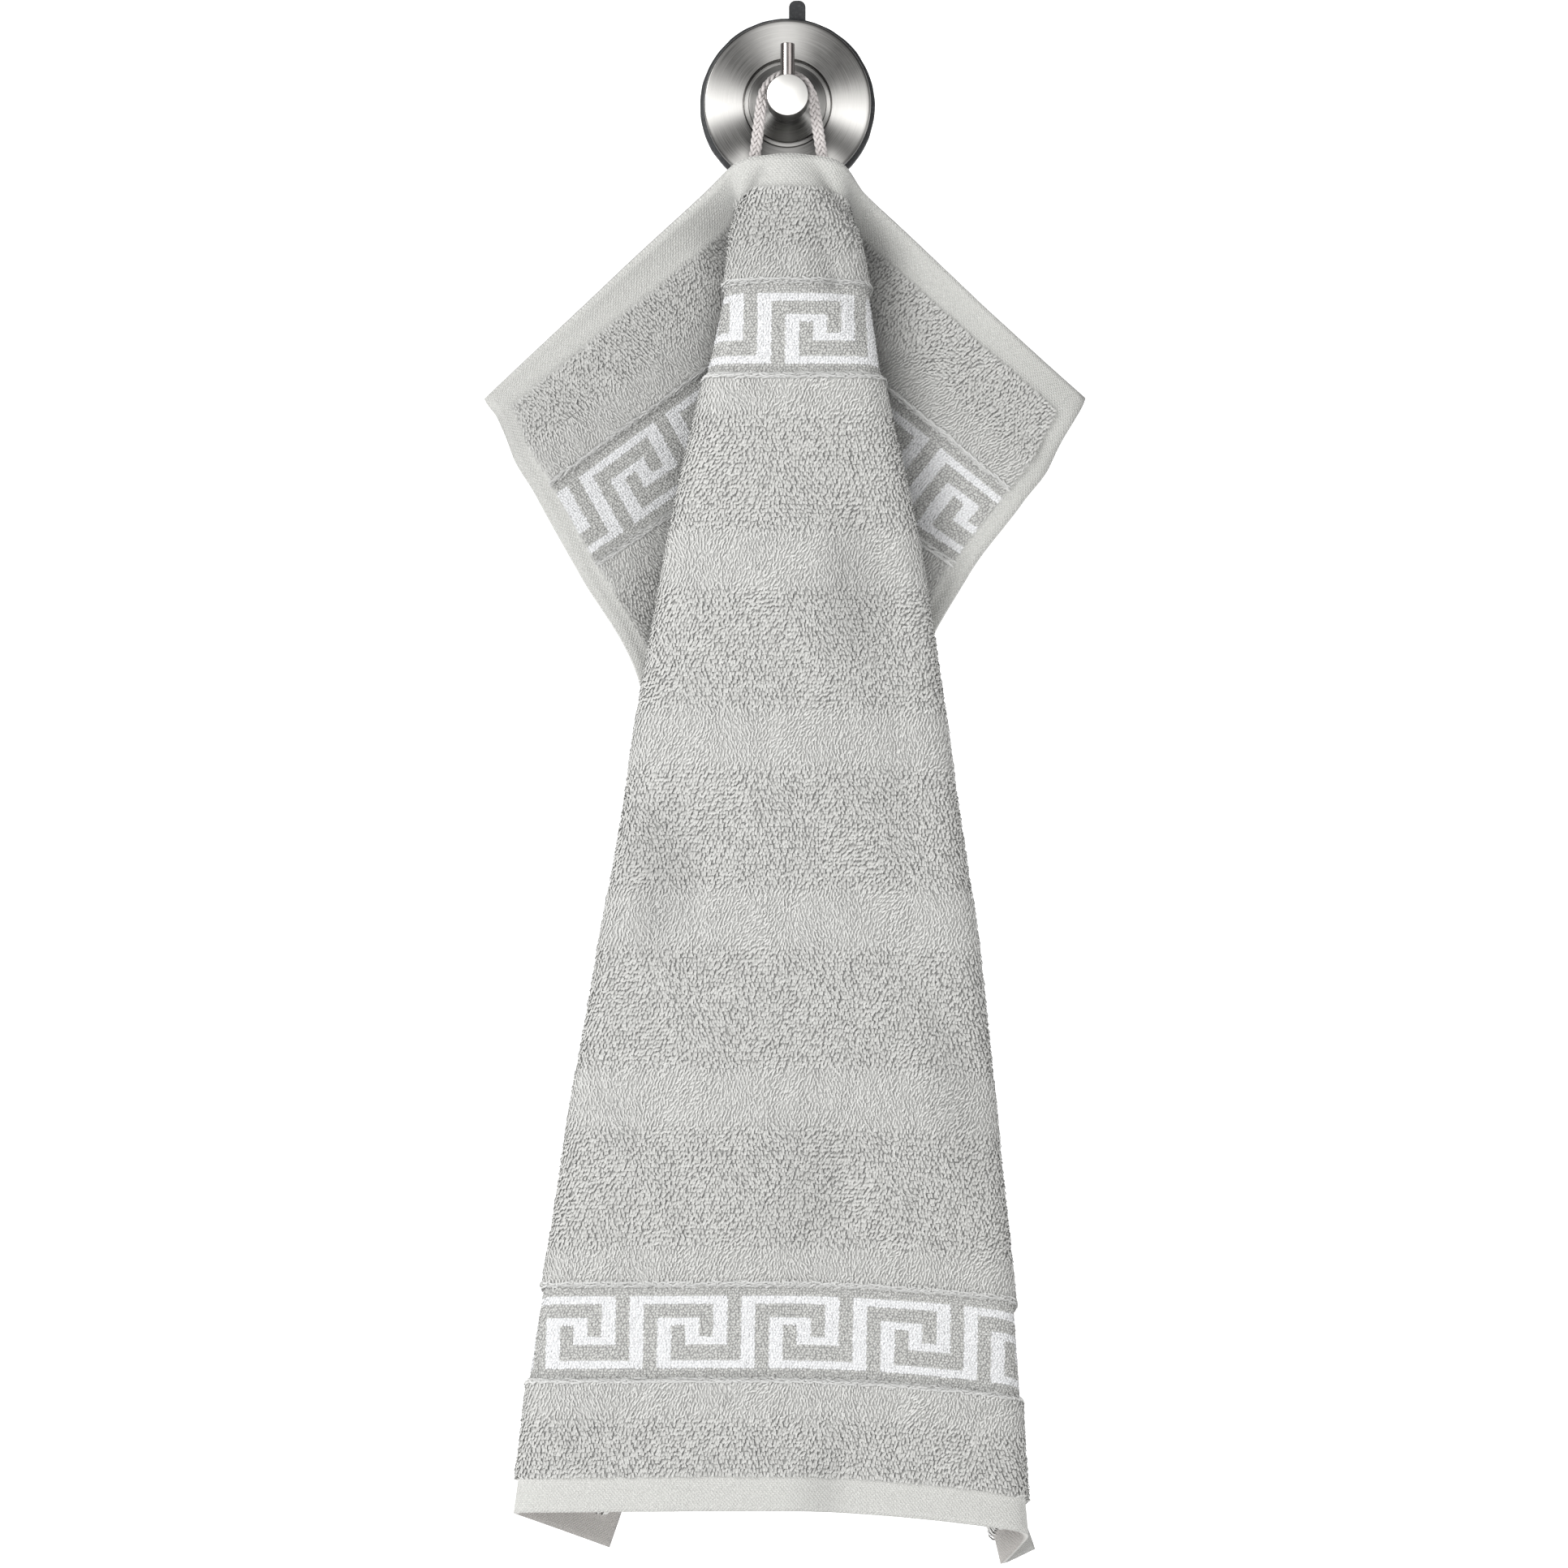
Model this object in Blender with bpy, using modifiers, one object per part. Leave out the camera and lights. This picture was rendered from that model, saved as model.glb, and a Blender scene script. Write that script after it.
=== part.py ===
"""Guest towel hanging by its sewn loop on a steel wall hook with a rubber suction cup.

The frame: the wall is the plane y = 0, the viewer stands at -Y, +Z is up, and the
origin is the middle of the suction cup's back. Lengths are metres; the tables of the
towel's folds are in millimetres and degrees.
"""

import math
from collections import namedtuple

import bmesh
import bpy
import numpy as np

MM = 0.001

# The towel as it was cut and woven
TOWEL_WIDTH = 0.300
TOWEL_LENGTH = 0.500
HEM = 0.0125
SELVEDGE = 0.007
BORDER_TOP = 0.048
BORDER_END = 0.083
PILE_THICKNESS = 0.0042
BORDER_THICKNESS = 0.0034
HEM_THICKNESS = 0.0020

# Where the towel hangs: the middle of its top edge, and how far the middle thread
# strays to the left by the lower hem
TOP_EDGE_Z = -0.0215
STRAY = -0.0081

# How gently the cloth turns: half the width of a front fold and of a valley, and how
# suddenly the front's bow ends at the fold
FOLD_WIDTH = 6.5
VALLEY_WIDTH = 8.4
BOW_END = 6.0

# The middle thread, section by section: distance down the towel, its depth from the
# wall, and how far the front bows back from the middle to the fold, in degrees
Front = namedtuple("Front", "down depth bow")
FRONT = [
    Front(0, -29, 10),
    Front(12, -30, 12),
    Front(30, -32, 14),
    Front(48, -35, 15),
    Front(83, -39, 15),
    Front(134, -42, 14),
    Front(200, -44, 12),
    Front(300, -47, 10),
    Front(400, -51, 8),
    Front(500, -55, 8),
]

# One half of the cloth, section by section, walking out from the middle thread:
# where the front fold lies and how far it turns back, where the valley behind it lies
# and how far it turns out again, and how steeply the thread droops on the front, on
# the flap behind the fold and on the wing beyond the valley
Fold = namedtuple(
    "Fold", "down fold_at fold_turn valley_at valley_turn front_droop flap_droop wing_droop"
)
LEFT_FOLDS = [
    Fold(0, 18.5, 52, 36, 60, 6, 38, 42),
    Fold(12, 18, 106, 35, 122, 3, 36, 40),
    Fold(30, 21, 134, 40, 157, 1, 44, 38),
    Fold(48, 24, 140, 48, 167, 0, 45, 36),
    Fold(83, 30.5, 141, 68, 171, -1, 46, 32),
    Fold(134, 41.5, 141, 99, 172, -1, 51, 22),
    Fold(200, 52, 141, 119, 170, -1, 57, 17),
    Fold(300, 67, 141, 124, 162, 0, 56, 17),
    Fold(400, 82, 139, 157, 147, 1, 41, 19),
    Fold(500, 94, 126, 180, 120, 2, 20, 19),
]
RIGHT_FOLDS = [
    Fold(0, 19, 44, 39, 54, 5, 42, 43),
    Fold(12, 20, 74, 40, 93, 3, 41, 42),
    Fold(30, 27, 114, 49, 140, 1, 50, 41),
    Fold(48, 32, 129, 61, 158, 0, 53, 38),
    Fold(83, 38, 140, 82, 171, -1, 51.5, 32),
    Fold(134, 50.5, 141, 106, 172, 0, 51, 32),
    Fold(200, 62, 141, 121, 165, 1, 55, 34),
    Fold(300, 77, 139, 133, 158, 3, 57, 28),
    Fold(400, 89.5, 128, 138, 100, 8, 56, 16),
    Fold(500, 98.5, 128, 126, 80, 11, 46, 0),
]

# The mesh of the towel: columns on each half, crowded where the cloth bends, and
# rows between the woven zones
COLUMNS = 26
CROWDING = 3.2
CROWD_WIDTH = 9.0
ROW_STEP = 0.0125
THREAD_STEPS = 301

# The suction cup and its pull tab
CUP_RADIUS = 0.0331
CUP_DEPTH = 0.0040
CUP_LIP = 0.0012
TAB_WIDTH = 0.0063
TAB_THICKNESS = 0.0018
TAB_REACH = 0.0066
TAB_OFFSET = 0.0037
TAB_FROM_WALL = 0.0010
TAB_ROOT = 0.0040
TAB_CORNER = 0.0026

# The steel cover, hub, peg and stop pin
GAP = 0.0003
PLATE_RADIUS = 0.0313
PLATE_BORE = 0.0163
PLATE_FACE = 0.0105
PLATE_ROUND = 0.0022
PLATE_CHAMFER = 0.0005
HUB_RADIUS = 0.0147
HUB_EDGE = 0.0100
CONE_END = 0.0170
CONE_TIP_RADIUS = 0.0080
PEG_RADIUS = 0.00765
PEG_END = 0.0340
PEG_CHAMFER = 0.0004
PIN_RADIUS = 0.0026
PIN_FROM_WALL = 0.0302
PIN_TOP = 0.0195
PIN_SEAT = 0.0040
PIN_BEVEL = 0.0003
PIN_SIDES = 28
TURNED_STEPS = 64

# The hanging loop: a flat braid that lies flat over the peg down to LOOP_LIFT degrees
# above its middle, then turns its face to the front over FLAT_OVER of its fall
LOOP_WIDTH = 0.0046
LOOP_THICKNESS = 0.0022
LOOP_FROM_WALL = 0.0243
LOOP_CLEARANCE = 0.0006
LOOP_LIFT = 8.0
LOOP_ARC_STEPS = 17
LOOP_LEG_STEPS = 6
LOOP_SIDES = 12
FLAT_BELOW = 0.004
FLAT_OVER = 0.012
LegEnd = namedtuple("LegEnd", "across depth down")
LEFT_LEG = [LegEnd(-12.2, -24.6, -22.5), LegEnd(-12.2, -24.6, -32.0)]
RIGHT_LEG = [LegEnd(13.0, -24.7, -22.5), LegEnd(13.0, -24.7, -32.0)]

COLOURS = {
    "terry_grey": ((0.50, 0.50, 0.485), 0.95, 0.0),
    "loop_grey": ((0.53, 0.49, 0.475), 0.9, 0.0),
    "brushed_steel": ((0.60, 0.59, 0.57), 0.32, 1.0),
    "black_rubber": ((0.02, 0.02, 0.022), 0.6, 0.0),
}


def clear_scene():
    """Remove every object of the scene."""
    for obj in list(bpy.data.objects):
        bpy.data.objects.remove(obj)


def make_material(name):
    """A plain material of the named colour."""
    colour, roughness, metallic = COLOURS[name]
    material = bpy.data.materials.new(name)
    material.use_nodes = True
    shader = material.node_tree.nodes["Principled BSDF"]
    shader.inputs["Base Color"].default_value = (*colour, 1.0)
    shader.inputs["Roughness"].default_value = roughness
    shader.inputs["Metallic"].default_value = metallic
    return material


def add_object(name, data, collection, material):
    """Link a new object and give it its material."""
    obj = bpy.data.objects.new(name, data)
    collection.objects.link(obj)
    data.materials.append(material)
    return obj


def smooth_between(at, values, wanted):
    """Read a table of sections at the wanted places without overshooting.

    A cubic runs through each pair of rows. Its slope at a row is the harmonic mean of
    the slopes on both sides, and level where the table turns round.
    """
    gaps = np.diff(at)[:, None]
    slopes = np.diff(values, axis=0) / gaps
    tangents = np.zeros_like(values)
    tangents[0] = slopes[0]
    tangents[-1] = slopes[-1]
    for k in range(1, len(at) - 1):
        before, after = slopes[k - 1], slopes[k]
        rising = before * after > 0
        first = 2 * gaps[k] + gaps[k - 1]
        second = gaps[k] + 2 * gaps[k - 1]
        safe_before = np.where(rising, before, 1.0)
        safe_after = np.where(rising, after, 1.0)
        mean = (first + second) / (first / safe_before + second / safe_after)
        tangents[k] = np.where(rising, mean, 0.0)
    row = np.clip(np.searchsorted(at, wanted, side="right") - 1, 0, len(at) - 2)
    gap = gaps[row]
    t = ((wanted - at[row])[:, None]) / gap
    return (
        (2 * t**3 - 3 * t**2 + 1) * values[row]
        + (t**3 - 2 * t**2 + t) * gap * tangents[row]
        + (3 * t**2 - 2 * t**3) * values[row + 1]
        + (t**3 - t**2) * gap * tangents[row + 1]
    )


def read_sections(table, down):
    """The columns of a table of sections at each distance down, one array a column."""
    rows = np.array(table, float)
    return smooth_between(rows[:, 0], rows[:, 1:], down).T[:, :, None]


def turn_share(out, at, width):
    """How much of a turn centred on at is behind a thread's point, from 0 to 1."""
    share = 0.5 * (1 + np.tanh((out - at) / width))
    return share - 0.5 * (1 + np.tanh(-at / width))


def front_share(out, fold_at):
    """A ramp that grows evenly from the middle thread and levels off at the fold."""
    level = np.log1p(np.exp(BOW_END)) / BOW_END
    return level - np.logaddexp(0, (1 - out / fold_at) * BOW_END) / BOW_END


def thread_paths(folds, down, out):
    """Walk each crosswise thread of one half out from the middle.

    down and out are in millimetres. Returns the offsets outward, back and up from the
    middle thread, shaped (down, out, 3), and the fold and valley places of each row.
    """
    _, bow = read_sections(FRONT, down)
    columns = read_sections(folds, down)
    fold_at, fold_turn, valley_at, valley_turn, front_droop, flap_droop, wing_droop = columns
    out = out[None, :]
    folded = turn_share(out, fold_at, FOLD_WIDTH)
    opened = turn_share(out, valley_at, VALLEY_WIDTH)
    front = front_share(out, fold_at)
    heading = np.radians(bow * front + fold_turn * folded - valley_turn * opened)
    droop = np.radians(
        front_droop * front
        + (flap_droop - front_droop) * folded
        + (wing_droop - flap_droop) * opened
    )
    tangent = np.stack(
        [
            np.cos(heading) * np.cos(droop),
            np.sin(heading) * np.cos(droop),
            -np.sin(droop),
        ],
        axis=-1,
    )
    step = out[0, 1] - out[0, 0]
    walked = np.zeros_like(tangent)
    walked[:, 1:] = np.cumsum((tangent[:, 1:] + tangent[:, :-1]) / 2 * step, axis=1)
    return walked, fold_at[:, 0], valley_at[:, 0]


def crowded_columns(fold_at, valley_at, half_width):
    """Column places on one row, close together in the fold and in the valley."""
    out = np.linspace(0, half_width, THREAD_STEPS)
    density = np.ones_like(out)
    for bend in (fold_at, valley_at):
        density += CROWDING * np.exp(-(((out - bend) / CROWD_WIDTH) ** 2))
    total = np.concatenate([[0.0], np.cumsum((density[1:] + density[:-1]) / 2)])
    places = np.interp(np.linspace(0, total[-1], COLUMNS + 1), total, out)
    places[-2] = half_width - SELVEDGE / MM
    return places


def cloth_rows():
    """Distances down the towel, in millimetres, with a row at each woven edge."""
    length = TOWEL_LENGTH / MM
    hem = HEM / MM
    top, end = BORDER_TOP / MM, BORDER_END / MM
    edges = [0, hem, hem + 2, top - 1, top + 1, end - 1, end + 1]
    edges += [length - edge for edge in reversed(edges)]
    rows = []
    for start, stop in zip(edges[:-1], edges[1:]):
        parts = max(1, round((stop - start) / (ROW_STEP / MM)))
        rows += list(np.linspace(start, stop, parts, endpoint=False))
    return np.array(rows + [length])


def cloth_half(folds, side, down):
    """Points of one half of the towel and each point's distance from the middle."""
    half_width = TOWEL_WIDTH / MM / 2
    out = np.linspace(0, half_width, THREAD_STEPS)
    walked, fold_at, valley_at = thread_paths(folds, down, out)
    depth, _ = read_sections(FRONT, down)
    points = np.zeros((len(down), COLUMNS + 1, 3))
    places = np.zeros((len(down), COLUMNS + 1))
    for k, place_down in enumerate(down):
        columns = crowded_columns(fold_at[k], valley_at[k], half_width)
        middle = np.array(
            [
                STRAY / MM * place_down * MM / TOWEL_LENGTH,
                depth[k, 0],
                TOP_EDGE_Z / MM - place_down,
            ]
        )
        for axis, sign in enumerate((side, 1, 1)):
            offset = np.interp(columns, out, walked[k, :, axis])
            points[k, :, axis] = middle[axis] + sign * offset
        places[k] = columns
    return points * MM, places


def pile_share(place_down, place_out):
    """The cloth's thickness at a point as a share of the full pile."""
    length = TOWEL_LENGTH / MM
    from_end = min(place_down, length - place_down)
    if from_end <= HEM / MM + 1e-6 or place_out >= (TOWEL_WIDTH / 2 - SELVEDGE) / MM - 1e-6:
        return HEM_THICKNESS / PILE_THICKNESS
    if BORDER_TOP / MM < from_end < BORDER_END / MM:
        return BORDER_THICKNESS / PILE_THICKNESS
    return 1.0


def build_towel(collection, material):
    """The terry cloth as one draped sheet with its real thickness."""
    down = cloth_rows()
    left, left_out = cloth_half(LEFT_FOLDS, -1, down)
    right, right_out = cloth_half(RIGHT_FOLDS, 1, down)
    points = np.concatenate([left[:, :0:-1], right], axis=1)
    outs = np.concatenate([left_out[:, :0:-1], right_out], axis=1)
    rows, columns = outs.shape
    mesh = bpy.data.meshes.new("towel")
    sheet = bmesh.new()
    bmesh.ops.create_grid(sheet, x_segments=columns - 1, y_segments=rows - 1, size=0.5)
    sheet.verts.ensure_lookup_table()
    for vert in sheet.verts:
        column = round((vert.co.x + 0.5) * (columns - 1))
        row = round((0.5 - vert.co.y) * (rows - 1))
        vert.index = row * columns + column
        vert.co = points[row, column]
    order = [vert.index for vert in sheet.verts]
    bmesh.ops.recalc_face_normals(sheet, faces=sheet.faces)
    front_face = min(sheet.faces, key=lambda face: face.calc_center_median().y)
    if front_face.normal.y > 0:
        bmesh.ops.reverse_faces(sheet, faces=sheet.faces)
    sheet.to_mesh(mesh)
    sheet.free()
    towel = add_object("towel", mesh, collection, material)
    group = towel.vertex_groups.new(name="pile")
    for number, place in enumerate(order):
        row, column = divmod(place, columns)
        group.add([number], pile_share(down[row], outs[row, column]), "REPLACE")
    solidify = towel.modifiers.new("thickness", "SOLIDIFY")
    solidify.thickness = PILE_THICKNESS
    solidify.offset = 0.0
    solidify.vertex_group = group.name
    mesh.shade_smooth()
    return towel


def turned(name, profile, collection, material):
    """A closed turned piece: a profile of (radius, distance from the wall) points.

    The profile starts and ends on the axis or closes on itself, and runs down its
    outer side from the front to the wall.
    """
    mesh = bpy.data.meshes.new(name)
    outline = bmesh.new()
    verts = [outline.verts.new((radius, 0, away)) for radius, away in profile]
    for first, second in zip(verts[:-1], verts[1:]):
        outline.edges.new((first, second))
    if profile[0][0] > 0:
        outline.edges.new((verts[-1], verts[0]))
    outline.to_mesh(mesh)
    outline.free()
    piece = add_object(name, mesh, collection, material)
    piece.rotation_euler = (math.radians(90), 0, 0)
    screw = piece.modifiers.new("turn", "SCREW")
    screw.steps = TURNED_STEPS
    screw.render_steps = TURNED_STEPS
    screw.use_merge_vertices = True
    screw.merge_threshold = 0.00002
    screw.use_smooth_shade = True
    return piece


def rounded_corner(centre_radius, centre_away, radius, start, stop, steps=5):
    """Points of an arc in a turned profile, angles in degrees from outward."""
    angles = np.radians(np.linspace(start, stop, steps))
    return [
        (centre_radius + radius * math.cos(angle), centre_away + radius * math.sin(angle))
        for angle in angles
    ]


def build_suction_cup(collection, material, cutters):
    """The rubber cup, flat against the wall, with its pull tab at the top."""
    profile = [(0, CUP_DEPTH), (CUP_RADIUS - CUP_LIP, CUP_DEPTH)]
    profile += rounded_corner(
        CUP_RADIUS - CUP_LIP, CUP_DEPTH - CUP_LIP, CUP_LIP, 75, 0, steps=4
    )
    profile += [(CUP_RADIUS, GAP), (CUP_RADIUS - GAP, 0), (0, 0)]
    cup = turned("suction_cup", profile, collection, material)
    tab_mesh = bpy.data.meshes.new("tab")
    tab_shape = bmesh.new()
    length = TAB_REACH + TAB_ROOT
    bmesh.ops.create_cube(tab_shape, size=1.0)
    bmesh.ops.scale(tab_shape, vec=(TAB_WIDTH, TAB_THICKNESS, length), verts=tab_shape.verts)
    corners = [
        edge
        for edge in tab_shape.edges
        if all(vert.co.z > 0 for vert in edge.verts)
        and abs(edge.verts[0].co.x - edge.verts[1].co.x) < 1e-6
    ]
    bmesh.ops.bevel(
        tab_shape, geom=corners, offset=TAB_CORNER, segments=5, affect="EDGES", profile=0.5
    )
    bmesh.ops.translate(
        tab_shape,
        vec=(
            TAB_OFFSET,
            -(TAB_FROM_WALL + TAB_THICKNESS / 2),
            CUP_RADIUS - TAB_ROOT + length / 2,
        ),
        verts=tab_shape.verts,
    )
    tab_shape.to_mesh(tab_mesh)
    tab_shape.free()
    tab = bpy.data.objects.new("tab", tab_mesh)
    cutters.objects.link(tab)
    tab.hide_render = True
    tab.display_type = "WIRE"
    join = cup.modifiers.new("tab", "BOOLEAN")
    join.operation = "UNION"
    join.object = tab
    return cup


def build_hook_plate(collection, material):
    """The domed steel cover over the cup, with the bore that the hub stands in."""
    back = CUP_DEPTH + GAP
    inner = PLATE_BORE
    profile = [(inner + PLATE_CHAMFER, PLATE_FACE), (PLATE_RADIUS - PLATE_ROUND, PLATE_FACE)]
    profile += rounded_corner(
        PLATE_RADIUS - PLATE_ROUND, PLATE_FACE - PLATE_ROUND, PLATE_ROUND, 72, 0
    )
    profile += [(PLATE_RADIUS, back), (inner, back), (inner, PLATE_FACE - PLATE_CHAMFER)]
    return turned("hook_plate", profile, collection, material)


def build_hook_peg(collection, material, cutters):
    """The hub with its straight cone, and the peg, bored for the stop pin."""
    back = CUP_DEPTH + GAP
    profile = [
        (0, PEG_END),
        (PEG_RADIUS - PEG_CHAMFER, PEG_END),
        (PEG_RADIUS, PEG_END - PEG_CHAMFER),
        (PEG_RADIUS, CONE_END),
        (CONE_TIP_RADIUS, CONE_END - GAP),
        (HUB_RADIUS, HUB_EDGE),
        (HUB_RADIUS, back),
        (0, back),
    ]
    peg = turned("hook_peg", profile, collection, material)
    bore_mesh = bpy.data.meshes.new("pin_bore")
    bore_shape = bmesh.new()
    depth = PEG_RADIUS
    bmesh.ops.create_cone(
        bore_shape,
        cap_ends=True,
        segments=PIN_SIDES,
        radius1=PIN_RADIUS + GAP,
        radius2=PIN_RADIUS + GAP,
        depth=depth,
    )
    bmesh.ops.translate(
        bore_shape,
        vec=(0, -PIN_FROM_WALL, PIN_SEAT - GAP + depth / 2),
        verts=bore_shape.verts,
    )
    bore_shape.to_mesh(bore_mesh)
    bore_shape.free()
    bore = bpy.data.objects.new("pin_bore", bore_mesh)
    cutters.objects.link(bore)
    bore.hide_render = True
    bore.display_type = "WIRE"
    cut = peg.modifiers.new("pin_bore", "BOOLEAN")
    cut.operation = "DIFFERENCE"
    cut.object = bore
    return peg


def build_stop_pin(collection, material):
    """The upright pin that keeps the loop from slipping off the peg."""
    mesh = bpy.data.meshes.new("stop_pin")
    shape = bmesh.new()
    height = PIN_TOP - PIN_SEAT
    bmesh.ops.create_cone(
        shape,
        cap_ends=True,
        segments=PIN_SIDES,
        radius1=PIN_RADIUS,
        radius2=PIN_RADIUS,
        depth=height,
    )
    rim = [edge for edge in shape.edges if all(vert.co.z > 0 for vert in edge.verts)]
    bmesh.ops.bevel(shape, geom=rim, offset=PIN_BEVEL, segments=2, affect="EDGES")
    bmesh.ops.translate(shape, vec=(0, 0, PIN_SEAT + height / 2), verts=shape.verts)
    shape.to_mesh(mesh)
    shape.free()
    pin = add_object("stop_pin", mesh, collection, material)
    pin.location = (0, -PIN_FROM_WALL, 0)
    return pin


def loop_route():
    """The loop's middle line with the turn of its flat side at each point.

    It climbs the left leg, lies round the top of the peg and runs down the right leg.
    The turn is 0 where the braid lies flat on the peg, and a quarter turn to the left
    or right, -1 or 1, where its flat side faces the front.
    """
    wrap = (PEG_RADIUS + LOOP_CLEARANCE + LOOP_THICKNESS / 2) / MM
    away = -LOOP_FROM_WALL / MM
    angles = np.radians(np.linspace(180 - LOOP_LIFT, LOOP_LIFT, LOOP_ARC_STEPS))
    arc = [(wrap * math.cos(a), away, wrap * math.sin(a)) for a in angles]

    def leg(ends, start):
        upper, lower = ends
        points = [tuple(lower), tuple(upper)]
        for k in range(1, LOOP_LEG_STEPS):
            t = k / LOOP_LEG_STEPS
            points.append(tuple(np.array(upper) * (1 - t) + np.array(start) * t))
        return points

    left = leg(LEFT_LEG, arc[0])
    right = leg(RIGHT_LEG, arc[-1])[::-1]
    route = np.array(left + arc + right) * MM
    turned_by = np.clip((FLAT_BELOW - route[:, 2]) / FLAT_OVER, 0, 1)
    facing = turned_by**2 * (3 - 2 * turned_by) * np.sign(route[:, 0])
    return route, facing


def build_hanger_loop(collection, material, cutters):
    """The braided loop as a curve with an oval section that turns as it rises."""
    route, facing = loop_route()
    section = bpy.data.curves.new("braid_section", "CURVE")
    section.dimensions = "2D"
    ring = section.splines.new("POLY")
    ring.points.add(LOOP_SIDES - 1)
    for k in range(LOOP_SIDES):
        angle = 2 * math.pi * k / LOOP_SIDES
        across = LOOP_WIDTH / 2 * math.cos(angle)
        through = LOOP_THICKNESS / 2 * math.sin(angle)
        ring.points[k].co = (through, across, 0, 1)
    ring.use_cyclic_u = True
    section_object = bpy.data.objects.new("braid_section", section)
    cutters.objects.link(section_object)
    section_object.hide_render = True
    section_object.display_type = "WIRE"
    curve = bpy.data.curves.new("hanger_loop", "CURVE")
    curve.dimensions = "3D"
    curve.twist_mode = "MINIMUM"
    spline = curve.splines.new("POLY")
    spline.points.add(len(route) - 1)
    for point, place, quarter in zip(spline.points, route, facing):
        point.co = (*place, 1)
        point.tilt = math.radians(90) * quarter
    curve.bevel_mode = "OBJECT"
    curve.bevel_object = section_object
    curve.use_fill_caps = True
    return add_object("hanger_loop", curve, collection, material)


def main():
    """Build the towel, its loop and the hook."""
    clear_scene()
    scene = bpy.context.scene
    model = bpy.data.collections.new("guest towel on a hook")
    cutters = bpy.data.collections.new("guides")
    scene.collection.children.link(model)
    scene.collection.children.link(cutters)
    terry = make_material("terry_grey")
    braid = make_material("loop_grey")
    steel = make_material("brushed_steel")
    rubber = make_material("black_rubber")
    build_towel(model, terry)
    build_hanger_loop(model, braid, cutters)
    build_suction_cup(model, rubber, cutters)
    build_hook_plate(model, steel)
    build_hook_peg(model, steel, cutters)
    build_stop_pin(model, steel)


main()
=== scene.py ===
"""Guest towel hanging by its braided loop on a wall hook: the dressed model.

Lengths are metres unless a name or a comment says millimetres. The wall is the plane
y = 0, the viewer stands at -Y and +Z is up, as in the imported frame.
"""

from __future__ import annotations

import logging
import math
from collections.abc import Mapping, Sequence
from dataclasses import dataclass, field
from enum import Enum
from typing import NamedTuple

import bmesh
import bpy
import numpy as np
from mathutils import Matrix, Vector

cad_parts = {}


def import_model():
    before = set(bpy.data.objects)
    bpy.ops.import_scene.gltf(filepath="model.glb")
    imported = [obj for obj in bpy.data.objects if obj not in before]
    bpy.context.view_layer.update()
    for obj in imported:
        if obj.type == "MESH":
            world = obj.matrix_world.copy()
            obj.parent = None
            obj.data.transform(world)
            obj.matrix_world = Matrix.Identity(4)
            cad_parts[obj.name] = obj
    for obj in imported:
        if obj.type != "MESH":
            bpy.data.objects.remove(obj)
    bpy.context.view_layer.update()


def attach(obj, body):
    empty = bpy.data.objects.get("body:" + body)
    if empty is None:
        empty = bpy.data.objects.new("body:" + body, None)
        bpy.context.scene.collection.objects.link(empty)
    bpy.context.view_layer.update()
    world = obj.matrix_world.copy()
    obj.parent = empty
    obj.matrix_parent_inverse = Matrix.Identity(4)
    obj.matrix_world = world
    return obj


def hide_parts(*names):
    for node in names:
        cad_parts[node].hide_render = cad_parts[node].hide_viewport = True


LOG = logging.getLogger("guest_towel")
MM = 0.001


class Slot(Enum):
    """The record's material slots."""

    TERRY = "terry_grey"
    BRAID = "loop_grey"
    STEEL = "brushed_steel"
    RUBBER = "black_rubber"


class Side(Enum):
    """The two halves of the towel, left and right of its middle thread."""

    LEFT = -1
    RIGHT = 1


class Face(Enum):
    """The two faces of the cloth: the one seen from the room, and the other."""

    FRONT = 1
    BACK = -1


class Signal:
    """A node's output that Python expressions can calculate with."""

    def __init__(self, graph: Graph, socket: bpy.types.NodeSocket) -> None:
        """Wrap a socket of a graph's node."""
        self.graph = graph
        self.socket = socket

    def math(self, operation: str, *others: Signal | float) -> Signal:
        """Put a Math node on this signal.

        Args:
            operation: The Math node's operation.
            others: The values of its further sockets.

        Returns:
            The result.
        """
        inputs = dict(enumerate([self, *others]))
        return self.graph.node("ShaderNodeMath", {"operation": operation}, inputs)

    def __add__(self, other: Signal | float) -> Signal:
        """Add."""
        return self.math("ADD", other)

    def __sub__(self, other: Signal | float) -> Signal:
        """Subtract."""
        return self.math("SUBTRACT", other)

    def __mul__(self, other: Signal | float) -> Signal:
        """Multiply."""
        return self.math("MULTIPLY", other)

    def __truediv__(self, other: Signal | float) -> Signal:
        """Divide."""
        return self.math("DIVIDE", other)

    def __radd__(self, other: float) -> Signal:
        """Add from the right."""
        return self.math("ADD", other)

    def __rmul__(self, other: float) -> Signal:
        """Multiply from the right."""
        return self.math("MULTIPLY", other)

    def __rsub__(self, other: float) -> Signal:
        """Subtract this signal from a number."""
        return self.graph.node("ShaderNodeMath", {"operation": "SUBTRACT"}, {0: other, 1: self})

    def clamped(self) -> Signal:
        """Keep the signal between 0 and 1."""
        return self.graph.node("ShaderNodeClamp", {}, {"Value": self})

    def wave(self, period: float) -> Signal:
        """A sine of the given period, from 0 to 1."""
        return (self * (2 * math.pi / period)).math("SINE") * 0.5 + 0.5

    def above(self, level: Signal | float, soft: float) -> Signal:
        """A soft step: 1 where the signal is above a level, over a width of soft."""
        return ((self - level) * (1 / soft) + 0.5).clamped()

    def within(self, low: float, high: float, soft: float) -> Signal:
        """A soft window between two levels."""
        return self.above(low, soft) * (1 - self.above(high, soft))

    def part(self, axis: str) -> Signal:
        """One component, X, Y or Z, of a vector signal."""
        return self.graph.node("ShaderNodeSeparateXYZ", {}, {"Vector": self}, axis)


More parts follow.
